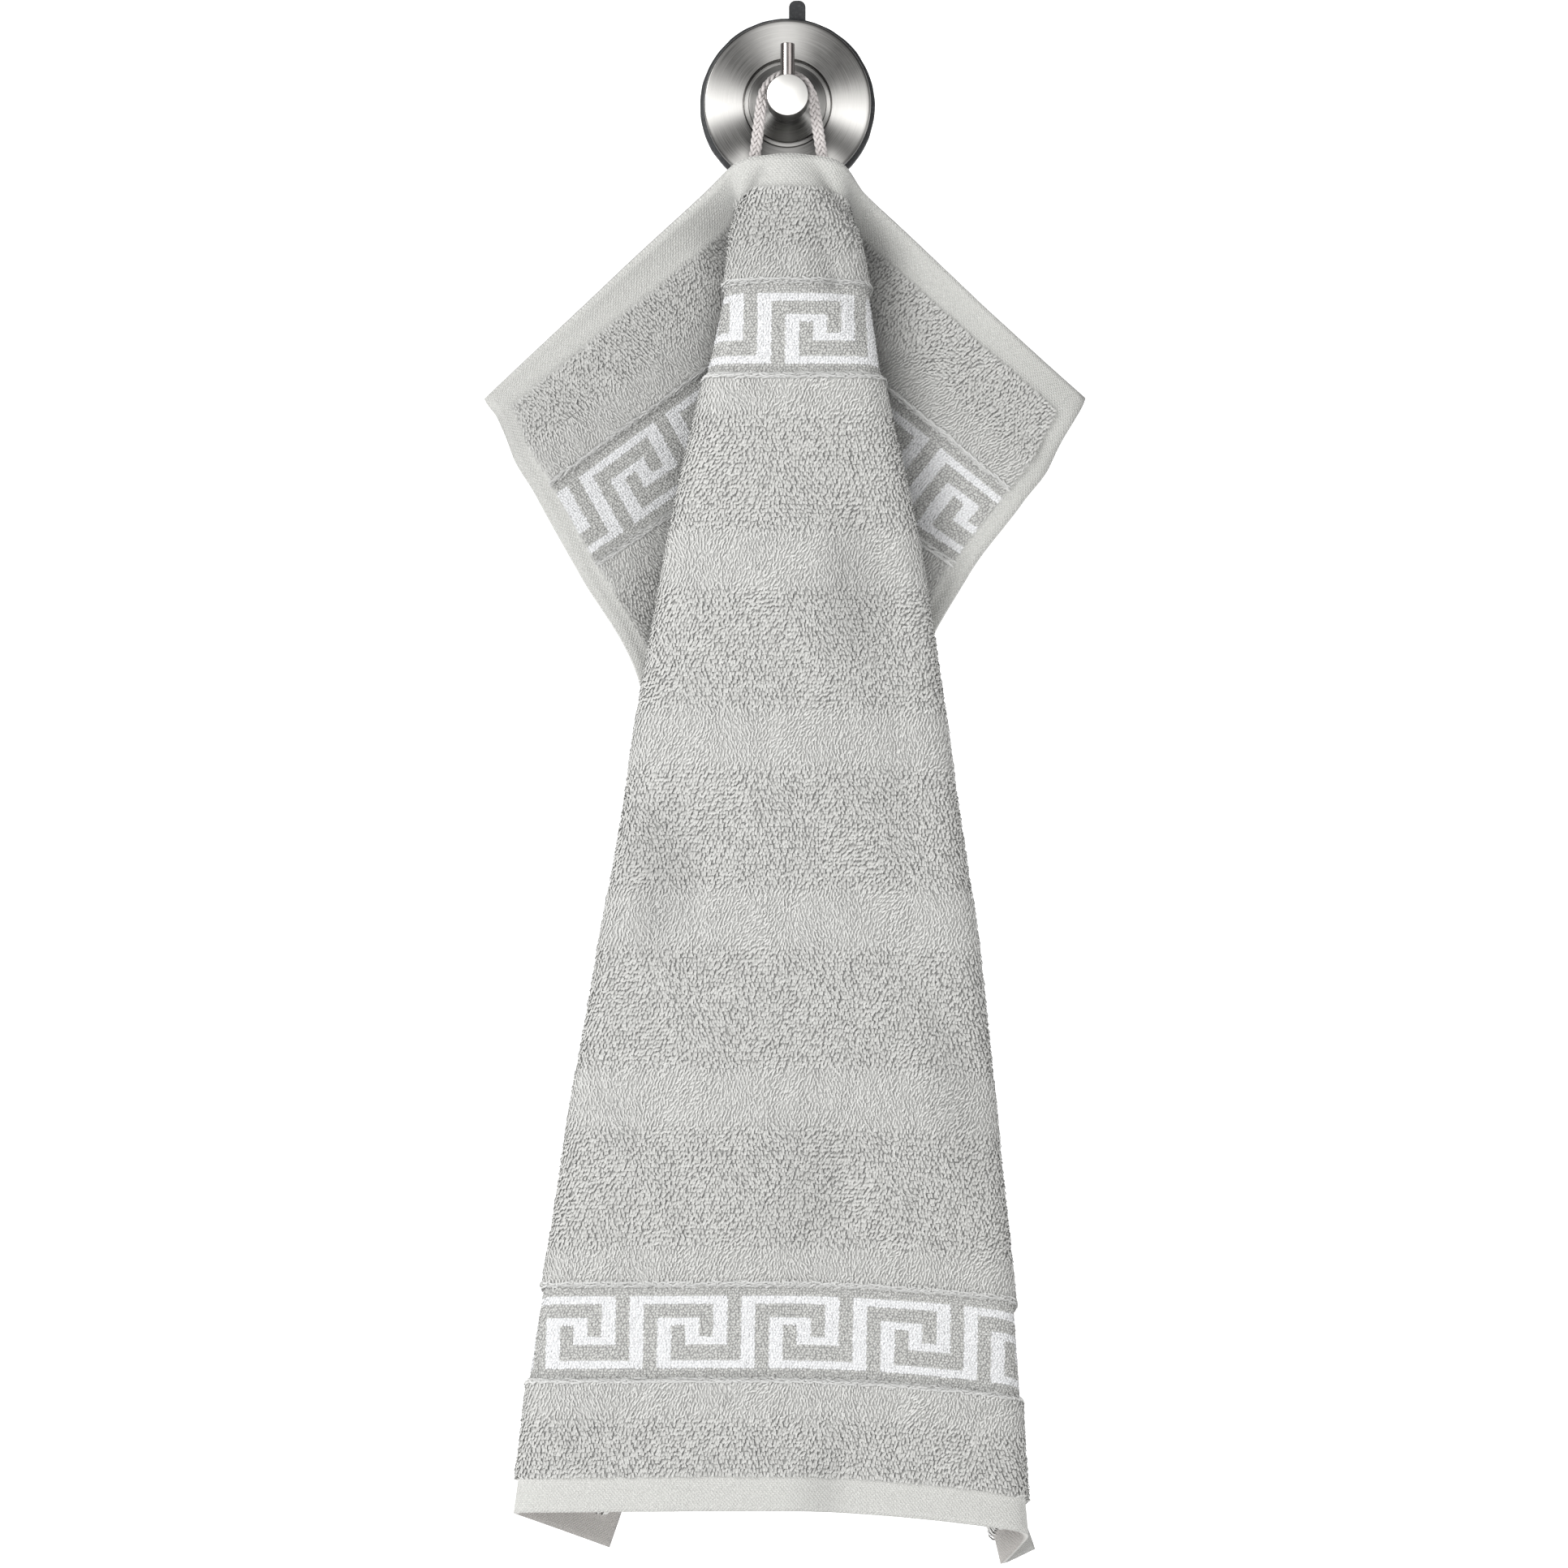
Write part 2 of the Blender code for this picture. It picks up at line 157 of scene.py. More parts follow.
class Graph:
    """A node tree in the making, a material's or a modifier's."""

    def __init__(self, tree: bpy.types.NodeTree) -> None:
        """Start on a tree."""
        self.tree = tree

    def node(
        self,
        kind: str,
        settings: Mapping[str, object] | None = None,
        inputs: Mapping[str | int, object] | None = None,
        output: str | int = 0,
    ) -> Signal:
        """Add a node.

        Args:
            kind: The node's type.
            settings: Its own settings.
            inputs: Values or signals by socket name or number.
            output: The output wanted, by name or number.

        Returns:
            That output.
        """
        made = self.tree.nodes.new(kind)
        for name, value in (settings or {}).items():
            setattr(made, name, value)
        for name, value in (inputs or {}).items():
            socket = made.inputs[name]
            if isinstance(value, Signal):
                self.tree.links.new(value.socket, socket)
            else:
                socket.default_value = value
        return Signal(self, made.outputs[output])

    def attribute(self, name: str, output: str = "Vector") -> Signal:
        """Read an attribute of the mesh."""
        return self.node("ShaderNodeAttribute", {"attribute_name": name}, {}, output)

    def object_place(self) -> Signal:
        """The point's own place, in Object coordinates."""
        return self.node("ShaderNodeTexCoord", {}, {}, "Object")

    def combine(self, x: object, y: object, z: object) -> Signal:
        """A vector of three values or signals."""
        return self.node("ShaderNodeCombineXYZ", {}, {"X": x, "Y": y, "Z": z})

    def scaled(self, vector: Signal, x: float, y: float, z: float) -> Signal:
        """A vector with its components scaled."""
        return self.node(
            "ShaderNodeVectorMath", {"operation": "MULTIPLY"}, {0: vector, 1: (x, y, z)}
        )

    def noise(self, vector: Signal, detail: float = 2.0, rough: float = 0.5) -> Signal:
        """Soft noise from 0 to 1 on a vector."""
        inputs = {"Vector": vector, "Scale": 1.0, "Detail": detail, "Roughness": rough}
        return self.node("ShaderNodeTexNoise", {}, inputs, "Fac")

    def blend(self, factor: Signal | float, first: object, second: object) -> Signal:
        """Mix two colours."""
        settings = {"data_type": "RGBA", "clamp_factor": True}
        return self.node("ShaderNodeMix", settings, {0: factor, 6: first, 7: second}, 2)

    def shaded(self, factor: Signal, colour: Colour, low: float, high: float) -> Signal:
        """One colour, dimmed from low to high by a signal."""
        return self.blend(factor, colour.dimmed(low), colour.dimmed(high))

    def bump(self, height: Signal, distance: float, strength: float = 1.0) -> Signal:
        """A normal from a height signal."""
        inputs = {"Strength": strength, "Distance": distance, "Height": height}
        return self.node("ShaderNodeBump", {}, inputs)


class Colour(NamedTuple):
    """A linear colour."""

    red: float
    green: float
    blue: float

    def dimmed(self, share: float) -> tuple[float, float, float, float]:
        """The colour times a share, with full alpha."""
        return (self.red * share, self.green * share, self.blue * share, 1.0)


@dataclass(frozen=True)
class Finish:
    """What every finish has: a name and the shader's own constants."""

    name: str
    roughness: float = 0.9
    metallic: float = 0.0
    sheen: float = 0.0
    specular: float = 0.5

    def start(self) -> tuple[bpy.types.Material, Graph, bpy.types.Node]:
        """Make the material with its constants set.

        Returns:
            The material, its graph and its Principled shader.
        """
        material = bpy.data.materials.new(self.name)
        material.use_nodes = True
        shader = material.node_tree.nodes["Principled BSDF"]
        shader.inputs["Roughness"].default_value = self.roughness
        shader.inputs["Metallic"].default_value = self.metallic
        shader.inputs["Sheen Weight"].default_value = self.sheen
        shader.inputs["Sheen Roughness"].default_value = 0.5
        shader.inputs["Specular IOR Level"].default_value = self.specular
        return material, Graph(material.node_tree), shader

    @staticmethod
    def link(graph: Graph, shader: bpy.types.Node, signals: Mapping[str, Signal]) -> None:
        """Feed signals into the shader's sockets."""
        for name, signal in signals.items():
            graph.tree.links.new(signal.socket, shader.inputs[name])


@dataclass(frozen=True)
class KeyBorder:
    """The Greek key of the borders, one white line on grey, in millimetres.

    A repeat is eight cells wide. Upright bars are one cell wide, level bars are thinner.
    """

    repeat: float = 40.9
    phase: float = 10.0
    margin: float = 4.35
    height: float = 26.3
    bar: float = 2.9
    hook_end: float = 17.8
    eye_top: float = 7.9
    eye_bar: float = 2.6

    @property
    def cell(self) -> float:
        """The width of a cell."""
        return self.repeat / 8

    def bars(self) -> list[tuple[float, float, float, float]]:
        """The line's bars as (first cell, end cell, top, bottom)."""
        return [
            (0, 1, 0, self.height),
            (0, 7, 0, self.bar),
            (6, 7, 0, self.hook_end),
            (4, 7, self.hook_end - self.bar, self.hook_end),
            (4, 5, self.eye_top, self.hook_end),
            (2, 5, self.eye_top, self.eye_top + self.eye_bar),
            (2, 3, self.eye_top, self.height),
            (2, 8, self.height - self.bar, self.height),
        ]

    def line(self, across: Signal, below_edge: Signal, soft: float) -> Signal:
        """The white line as a shader signal.

        Args:
            across: Millimetres across the towel from its middle thread.
            below_edge: Millimetres below the border's upper edge.
            soft: How many millimetres the line's edge takes.

        Returns:
            1 on the line and 0 beside it.
        """
        place = (across + self.phase + 10 * self.repeat).math("MODULO", self.repeat)
        height = below_edge - self.margin
        found: Signal | None = None
        for first, end, top, bottom in self.bars():
            low = first * self.cell if first else -self.cell
            high = end * self.cell if end < 8 else self.repeat + self.cell
            part = place.within(low, high, soft) * height.within(top, bottom, soft)
            found = part if found is None else found.math("MAXIMUM", part)
        return found

    def is_white(self, across: np.ndarray, below_edge: np.ndarray) -> np.ndarray:
        """1 where a loop is woven with white yarn and 0 where it is grey."""
        place = np.mod(across + self.phase, self.repeat)
        height = below_edge - self.margin
        found = np.zeros(across.shape)
        for first, end, top, bottom in self.bars():
            inside = (place >= first * self.cell) & (place < end * self.cell)
            found[inside & (height >= top) & (height < bottom)] = 1
        return found


@dataclass(frozen=True)
class Weave:
    """The towel's cut size and woven zones, in millimetres."""

    width: float = 300.0
    length: float = 500.0
    hem: float = 12.5
    selvedge: float = 7.0
    border_top: float = 48.0
    border_end: float = 83.0
    lower_top: float = 417.0
    plush_zones: tuple[tuple[float, float], ...] = (
        (34.0, 48.0),
        (83.0, 97.0),
        (140.0, 162.0),
        (206.0, 228.0),
        (272.0, 294.0),
        (338.0, 360.0),
        (403.0, 417.0),
        (452.0, 466.0),
    )

    def from_end(self, down: np.ndarray) -> np.ndarray:
        """The distance from the nearer hem's edge."""
        return np.minimum(down, self.length - down)

    @staticmethod
    def soft_step(value: np.ndarray, level: float, soft: float) -> np.ndarray:
        """A smooth step over a width of soft around a level."""
        share = np.clip((value - level) / soft + 0.5, 0, 1)
        return share * share * (3 - 2 * share)

    def window(self, value: np.ndarray, low: float, high: float, soft: float) -> np.ndarray:
        """A smooth window between two levels."""
        return self.soft_step(value, low, soft) * (1 - self.soft_step(value, high, soft))

    def piled(self, down: np.ndarray, out: np.ndarray, soft: float = 1.6) -> np.ndarray:
        """1 where the cloth has loops and 0 on its hems and selvedges."""
        inner = self.soft_step(self.from_end(down), self.hem + 0.4, soft)
        return inner * (1 - self.soft_step(np.abs(out), self.width / 2 - self.selvedge, soft))

    def bordered(self, down: np.ndarray, soft: float = 1.6) -> np.ndarray:
        """1 on the two key borders."""
        return self.window(self.from_end(down), self.border_top, self.border_end, soft)

    def ridged(self, down: np.ndarray) -> np.ndarray:
        """1 on the four fluffy ridges that edge the borders."""
        from_end = self.from_end(down)
        near = np.minimum(abs(from_end - self.border_top), abs(from_end - self.border_end))
        return np.exp(-((near / 1.1) ** 2))

    def plush(self, down: np.ndarray, soft: float = 5.0) -> np.ndarray:
        """1 on the smooth stripes of short dense pile."""
        share = np.zeros_like(down)
        for low, high in self.plush_zones:
            share = np.maximum(share, self.window(down, low, high, soft))
        return share


def rows_of(kind: type, *rows: tuple[float, ...]) -> tuple:
    """A table of named rows."""
    return tuple(kind(*row) for row in rows)


def unit(vectors: np.ndarray) -> np.ndarray:
    """The vectors at length 1."""
    return vectors / np.linalg.norm(vectors, axis=-1, keepdims=True)


class FrontSection(NamedTuple):
    """The middle thread at one distance down: its depth and the front's bow."""

    down: float
    depth: float
    bow: float


class FoldSection(NamedTuple):
    """One half of the cloth at one distance down, in millimetres and degrees."""

    down: float
    fold_at: float
    fold_turn: float
    valley_at: float
    valley_turn: float
    front_droop: float
    flap_droop: float
    wing_droop: float


class Crease(NamedTuple):
    """A soft trough, or a ridge where its rise is positive, in millimetres.

    It lies at a distance down and across, runs long by wide, and is turned from the
    crosswise direction by an angle in degrees.
    """

    down: float
    across: float
    long: float
    wide: float
    angle: float
    rise: float


FRONT = rows_of(
    FrontSection,
    (0, -29, 10),
    (12, -30, 12),
    (30, -32, 14),
    (48, -35, 15),
    (83, -39, 15),
    (134, -42, 14),
    (200, -44, 12),
    (300, -47, 10),
    (400, -51, 8),
    (500, -55, 8),
)
FOLDS = {
    Side.LEFT: rows_of(
        FoldSection,
        (0, 18.5, 35, 35, 43, 6, 39.5, 43),
        (12, 18, 98, 33, 114, 3, 37, 40.6),
        (30, 21, 134, 37.4, 157.1, 1, 44, 37.8),
        (48, 24, 140, 46.4, 166.5, 0, 45, 37),
        (83, 30.5, 141, 66.8, 170.4, -1, 46, 33.9),
        (134, 41.5, 141, 100.7, 173.4, -1, 51, 22.5),
        (200, 52, 141, 120.4, 171.5, -1, 57, 16.9),
        (300, 67, 141, 124, 162, 0, 56, 17),
        (400, 82, 139, 157, 147, 1, 41, 19),
        (500, 94, 126, 180, 120, 2, 20, 19),
    ),
    Side.RIGHT: rows_of(
        FoldSection,
        (0, 19, 44, 39, 54, 5, 42, 43),
        (12, 20, 74, 40, 93, 3, 41, 42),
        (30, 27, 114, 46.3, 138.1, 1, 50, 42.4),
        (48, 32, 129, 58.9, 157.7, 0, 53, 39.8),
        (83, 38, 140, 81.7, 170.3, -1, 51.5, 33.7),
        (134, 50.5, 141, 110.5, 176.3, 0, 51, 29.9),
        (200, 62, 141, 120.8, 164.8, 1, 55, 34),
        (300, 77, 139, 133, 158, 3, 57, 28),
        (400, 89.5, 128, 138, 100, 8, 56, 16),
        (500, 98.5, 128, 122, 82, 11, 44, -8),
    ),
}
CREASES = rows_of(
    Crease,
    (11, -14, 13, 4.0, 130, -2.6),
    (11, 15, 13, 4.0, 50, -2.8),
    (7, 0, 9, 8, 0, 1.0),
    (27, -19, 9, 5, 110, 0.9),
    (29, 24, 9, 5, 70, 0.9),
    (44, 17, 13, 5, 78, -1.9),
    (38, 8, 12, 5, 80, 0.8),
    (60, 28, 12, 5, 80, -1.0),
    (40, -12, 14, 6, 100, -0.7),
    (110, -20, 34, 14, 78, 0.8),
    (150, 24, 40, 14, 84, -0.9),
    (220, -6, 60, 20, 88, 0.9),
    (236, 44, 60, 14, 80, -1.2),
    (262, 58, 60, 12, 80, 0.8),
    (300, -46, 70, 16, 94, -0.9),
    (330, 66, 80, 12, 82, -1.0),
    (380, 10, 70, 22, 86, -0.8),
    (430, 58, 50, 16, 78, 0.9),
    (440, -60, 46, 14, 98, 0.8),
    (492, -38, 22, 9, 80, 0.7),
    (493, 22, 22, 9, 96, -0.8),
    (60, -104, 22, 8, 40, 0.8),
    (58, 108, 24, 8, -38, 0.9),
    (22, 96, 22, 7, -30, -0.8),
    (90, -84, 26, 8, 60, -0.8),
)


@dataclass(frozen=True)
class Drape:
    """How the cloth hangs: the solid's walk from the middle thread, on eased rows.

    Each crosswise thread runs outward over the front, turns back at the fold, and turns
    out again in the valley behind it.
    """

    weave: Weave = Weave()
    top_edge: float = -21.5
    stray: float = -8.1
    fold_width: float = 6.5
    valley_width: float = 8.4
    bow_end: float = 6.0
    steps: int = 301
    # The fields from here on set the painted shade of the valleys, wings, upper front and hollows.
    shade_starts: float = 5.0
    start_soft: float = 1.5
    shade_ends: float = 1.0
    end_soft: float = 4.5
    wing_soft: float = 4.0
    shade_reach: float = 38.0
    wing_shade: float = 0.18
    shade_from: float = 14.0
    fades_from: float = 42.0
    fades_over: float = 25.0
    faded: float = 0.6
    upper_at: float = 32.0
    upper_tall: float = 18.0
    upper_wide: float = 40.0
    upper_shade: float = 0.25
    hollow_from: float = 0.5
    hollow_over: float = 2.2
    hollow_shade: float = 0.7

    @staticmethod
    def smooth_between(at: np.ndarray, values: np.ndarray, wanted: np.ndarray) -> np.ndarray:
        """Read a table of sections at the wanted places without overshooting.

        Args:
            at: The rows' places.
            values: The rows' values, one column each.
            wanted: The places to read.

        Returns:
            The values there, a row for each place.
        """
        gaps = np.diff(at)[:, None]
        slopes = np.diff(values, axis=0) / gaps
        tangents = np.zeros_like(values)
        tangents[0] = slopes[0]
        tangents[-1] = slopes[-1]
        for k in range(1, len(at) - 1):
            before, after = slopes[k - 1], slopes[k]
            rising = before * after > 0
            first = 2 * gaps[k] + gaps[k - 1]
            second = gaps[k] + 2 * gaps[k - 1]
            safe_before = np.where(rising, before, 1.0)
            safe_after = np.where(rising, after, 1.0)
            mean = (first + second) / (first / safe_before + second / safe_after)
            tangents[k] = np.where(rising, mean, 0.0)
        row = np.clip(np.searchsorted(at, wanted, side="right") - 1, 0, len(at) - 2)
        gap = gaps[row]
        t = ((wanted - at[row])[:, None]) / gap
        return (
            (2 * t**3 - 3 * t**2 + 1) * values[row]
            + (t**3 - 2 * t**2 + t) * gap * tangents[row]
            + (3 * t**2 - 2 * t**3) * values[row + 1]
            + (t**3 - t**2) * gap * tangents[row + 1]
        )

    def sections(self, table: Sequence[NamedTuple], down: np.ndarray) -> np.ndarray:
        """The columns of a table of sections at each distance down."""
        rows = np.array(table, float)
        return self.smooth_between(rows[:, 0], rows[:, 1:], down).T[:, :, None]

    @staticmethod
    def turn_share(out: np.ndarray, at: np.ndarray, width: float) -> np.ndarray:
        """How much of a turn centred on at lies behind a thread's point."""
        share = 0.5 * (1 + np.tanh((out - at) / width))
        return share - 0.5 * (1 + np.tanh(-at / width))

    def half(self, side: Side, down: np.ndarray, places: np.ndarray) -> np.ndarray:
        """Points of one half of the cloth.

        Args:
            side: Which half.
            down: Distances down the towel, one for each row.
            places: Distances out from the middle thread, a row of them for each down.

        Returns:
            Points in millimetres, shaped as places with x, y and z.
        """
        depth, bow = self.sections(FRONT, down)
        columns = self.sections(FOLDS[side], down)
        fold_at, fold_turn, valley_at, valley_turn, front_droop, flap_droop, wing_droop = columns
        out = np.linspace(0, self.weave.width / 2, self.steps)[None, :]
        folded = self.turn_share(out, fold_at, self.fold_width)
        opened = self.turn_share(out, valley_at, self.valley_width)
        level = np.log1p(np.exp(self.bow_end)) / self.bow_end
        front = level - np.logaddexp(0, (1 - out / fold_at) * self.bow_end) / self.bow_end
        heading = np.radians(bow * front + fold_turn * folded - valley_turn * opened)
        droop = np.radians(
            front_droop * front
            + (flap_droop - front_droop) * folded
            + (wing_droop - flap_droop) * opened
        )
        tangent = np.stack(
            [np.cos(heading) * np.cos(droop), np.sin(heading) * np.cos(droop), -np.sin(droop)],
            axis=-1,
        )
        step = out[0, 1] - out[0, 0]
        walked = np.zeros_like(tangent)
        walked[:, 1:] = np.cumsum((tangent[:, 1:] + tangent[:, :-1]) / 2 * step, axis=1)
        points = np.zeros((*places.shape, 3))
        for k, place in enumerate(down):
            middle = (self.stray * place / self.weave.length, depth[k, 0], self.top_edge - place)
            for axis, sign in enumerate((side.value, 1, 1)):
                offset = np.interp(places[k], out[0], walked[k, :, axis])
                points[k, :, axis] = middle[axis] + sign * offset
        return points

    def fold_lines(self, side: Side, down: np.ndarray) -> tuple[np.ndarray, np.ndarray]:
        """Where the fold and the valley lie on each row."""
        columns = self.sections(FOLDS[side], down)
        return columns[0][:, 0], columns[2][:, 0]

    def painted_shade(self, down: np.ndarray, across: np.ndarray) -> np.ndarray:
        """Painted shade: 1 deep in the valleys beside the front, less on the wings, the upper
        front and in hollows, 0 out in the open.

        Args:
            down: Distances down, one for each row.
            across: Signed distances across, a row of them for each down.

        Returns:
            The share of painted shade.
        """
        # Painted shade: darker colour beside the front's folds, a little on the wings, on the
        # upper front and in the creases' hollows.
        shade = np.zeros(across.shape)
        for side in Side:
            fold_at, valley_at = self.fold_lines(side, down)
            out = across * side.value
            seen_from = np.minimum(2 * valley_at - fold_at, valley_at + self.shade_reach)
            starting = out - fold_at[:, None] - self.shade_starts
            ending = out - seen_from[:, None] - self.shade_ends
            inside = 1 / (1 + np.exp(-starting / self.start_soft))
            beyond = 1 / (1 + np.exp(ending / self.end_soft))
            wing = 1 / (1 + np.exp(-(out - valley_at[:, None]) / self.wing_soft))
            shade = np.maximum(shade, np.maximum(inside * beyond, self.wing_shade * wing))
        fading = 1 - self.faded * np.clip((down - self.fades_from) / self.fades_over, 0, 1)
        shade = shade * (np.clip(down / self.shade_from, 0, 1) * fading)[:, None]
        upper = np.exp(-(((down - self.upper_at) / self.upper_tall) ** 2))[:, None]
        upper = upper * (abs(across) < self.upper_wide)
        shade = np.maximum(shade, self.upper_shade * upper)
        depth = -self.relief(down[:, None] + 0 * across, across)
        hollow = np.clip((depth - self.hollow_from) / self.hollow_over, 0, 1)
        return np.maximum(shade, self.hollow_shade * hollow)

    def surface(self, down: np.ndarray, across: np.ndarray) -> Surface:
        """The cloth's middle surface on a grid.

        Args:
            down: Distances down, one for each row.
            across: Signed distances from the middle thread, a row of them for each down.

        Returns:
            The grid's points, with its outward normals and thread directions.
        """
        points = np.zeros((*across.shape, 3))
        for side in Side:
            mine = (across * side.value > 0) | ((across == 0) & (side is Side.RIGHT))
            walked = self.half(side, down, np.abs(across))
            points[mine] = walked[mine]
        normals, _, _ = self.directions(points, down, across)
        points += normals * self.relief(down[:, None] + 0 * across, across)[..., None]
        normals, crosswise, lengthwise = self.directions(points, down, across)
        return Surface(down[:, None] + 0 * across, across, points, normals, crosswise, lengthwise)

    @staticmethod
    def directions(
        points: np.ndarray, down: np.ndarray, across: np.ndarray
    ) -> tuple[np.ndarray, np.ndarray, np.ndarray]:
        """The unit normals towards the front face, and both thread directions."""
        along = np.gradient(points, axis=1)
        falling = np.gradient(points, down, axis=0)
        spread = np.gradient(across, down, axis=0)
        rate = along / np.gradient(across, axis=1)[..., None]
        falling = falling - rate * spread[..., None]
        normals = unit(np.cross(along, falling))
        return -normals, unit(along), unit(falling)

    @staticmethod
    def relief(down: np.ndarray, across: np.ndarray) -> np.ndarray:
        """The height of the soft creases and of the cloth's gentle waves."""
        height = 0.35 * np.sin(down / 17 + 1.3 * np.sin(across / 23)) * np.sin(across / 19 + 0.6)
        height += 0.25 * np.sin(down / 31 - across / 27 + 1.1)
        for crease in CREASES:
            angle = math.radians(crease.angle)
            x, y = across - crease.across, down - crease.down
            along = x * math.cos(angle) + y * math.sin(angle)
            beside = y * math.cos(angle) - x * math.sin(angle)
            near = (along / crease.long) ** 2 + (beside / crease.wide) ** 2
            height += crease.rise * np.exp(-near)
        return height


@dataclass(frozen=True)
class Surface:
    """A grid on the cloth: places in millimetres, points, normals and directions."""

    down: np.ndarray
    across: np.ndarray
    points: np.ndarray
    normals: np.ndarray
    crosswise: np.ndarray
    lengthwise: np.ndarray


def write_attribute(mesh: bpy.types.Mesh, name: str, values: np.ndarray) -> None:
    """Store a number or a vector on each of a mesh's points."""
    kind, key = ("FLOAT_VECTOR", "vector") if values.ndim == 2 else ("FLOAT", "value")
    layer = mesh.attributes.new(name, kind, "POINT")
    layer.data.foreach_set(key, np.ascontiguousarray(values, np.float32).ravel())


def add_piece(
    name: str, mesh: bpy.types.Mesh, finish: bpy.types.Material | None
) -> bpy.types.Object:
    """Link a mesh as an object at the origin and give it its finish."""
    piece = bpy.data.objects.new(name, mesh)
    bpy.context.scene.collection.objects.link(piece)
    if finish is not None:
        mesh.materials.clear()
        mesh.materials.append(finish)
    return piece


def shade_smooth(mesh: bpy.types.Mesh) -> None:
    """Shade every face smooth."""
    mesh.polygons.foreach_set("use_smooth", [True] * len(mesh.polygons))


def mesh_from(name: str, points: np.ndarray, faces: Sequence[Sequence[int]]) -> bpy.types.Mesh:
    """A mesh from points in metres and faces."""
    mesh = bpy.data.meshes.new(name)
    mesh.from_pydata(points.tolist(), [], [tuple(face) for face in faces])
    mesh.update()
    shade_smooth(mesh)
    return mesh


class GrowTree:
    """A Geometry Nodes group with named inputs, run once into a plain mesh."""

    def __init__(self, name: str, inputs: Mapping[str, tuple[str, object]]) -> None:
        """Start a group.

        Args:
            name: The group's name.
            inputs: Each input's socket type and value, by its name.
        """
        self.tree = bpy.data.node_groups.new(name, "GeometryNodeTree")
        self.values = {key: value for key, (_, value) in inputs.items()}
        sockets = self.tree.interface
        sockets.new_socket("Geometry", in_out="INPUT", socket_type="NodeSocketGeometry")
        for key, (kind, _) in inputs.items():
            sockets.new_socket(key, in_out="INPUT", socket_type=kind)
        sockets.new_socket("Geometry", in_out="OUTPUT", socket_type="NodeSocketGeometry")
        self.graph = Graph(self.tree)
        self.entry = self.tree.nodes.new("NodeGroupInput")
        self.exit = self.tree.nodes.new("NodeGroupOutput")

    def given(self, name: str) -> Signal:
        """One of the group's inputs."""
        return Signal(self.graph, self.entry.outputs[name])

    def close(self, geometry: Signal, material: bpy.types.Material) -> None:
        """Make instances real, set the material and end the group."""
        real = self.graph.node("GeometryNodeRealizeInstances", {}, {"Geometry": geometry})
        inputs = {"Geometry": real, "Material": material}
        dressed = self.graph.node("GeometryNodeSetMaterial", {}, inputs)
        self.tree.links.new(dressed.socket, self.exit.inputs["Geometry"])

    def grow(
        self, name: str, seedbed: bpy.types.Mesh, drop: Sequence[str] = ()
    ) -> bpy.types.Object:
        """Run the group on a mesh.

        Args:
            name: The finished piece's name.
            seedbed: The mesh whose points it works on.
            drop: Attributes that the finished mesh doesn't need.

        Returns:
            The finished piece, a plain mesh at the origin.
        """
        bed = bpy.data.objects.new(f"{name}_bed", seedbed)
        bpy.context.scene.collection.objects.link(bed)
        modifier = bed.modifiers.new("grow", "NODES")
        modifier.node_group = self.tree
        for item in self.tree.interface.items_tree:
            if item.item_type == "SOCKET" and item.name in self.values:
                modifier[item.identifier] = self.values[item.name]
        bpy.context.view_layer.update()
        evaluated = bed.evaluated_get(bpy.context.evaluated_depsgraph_get())
        mesh = bpy.data.meshes.new_from_object(evaluated)
        mesh.name = name
        bpy.data.objects.remove(bed)
        for key in drop:
            if key in mesh.attributes:
                mesh.attributes.remove(mesh.attributes[key])
        return add_piece(name, mesh, None)


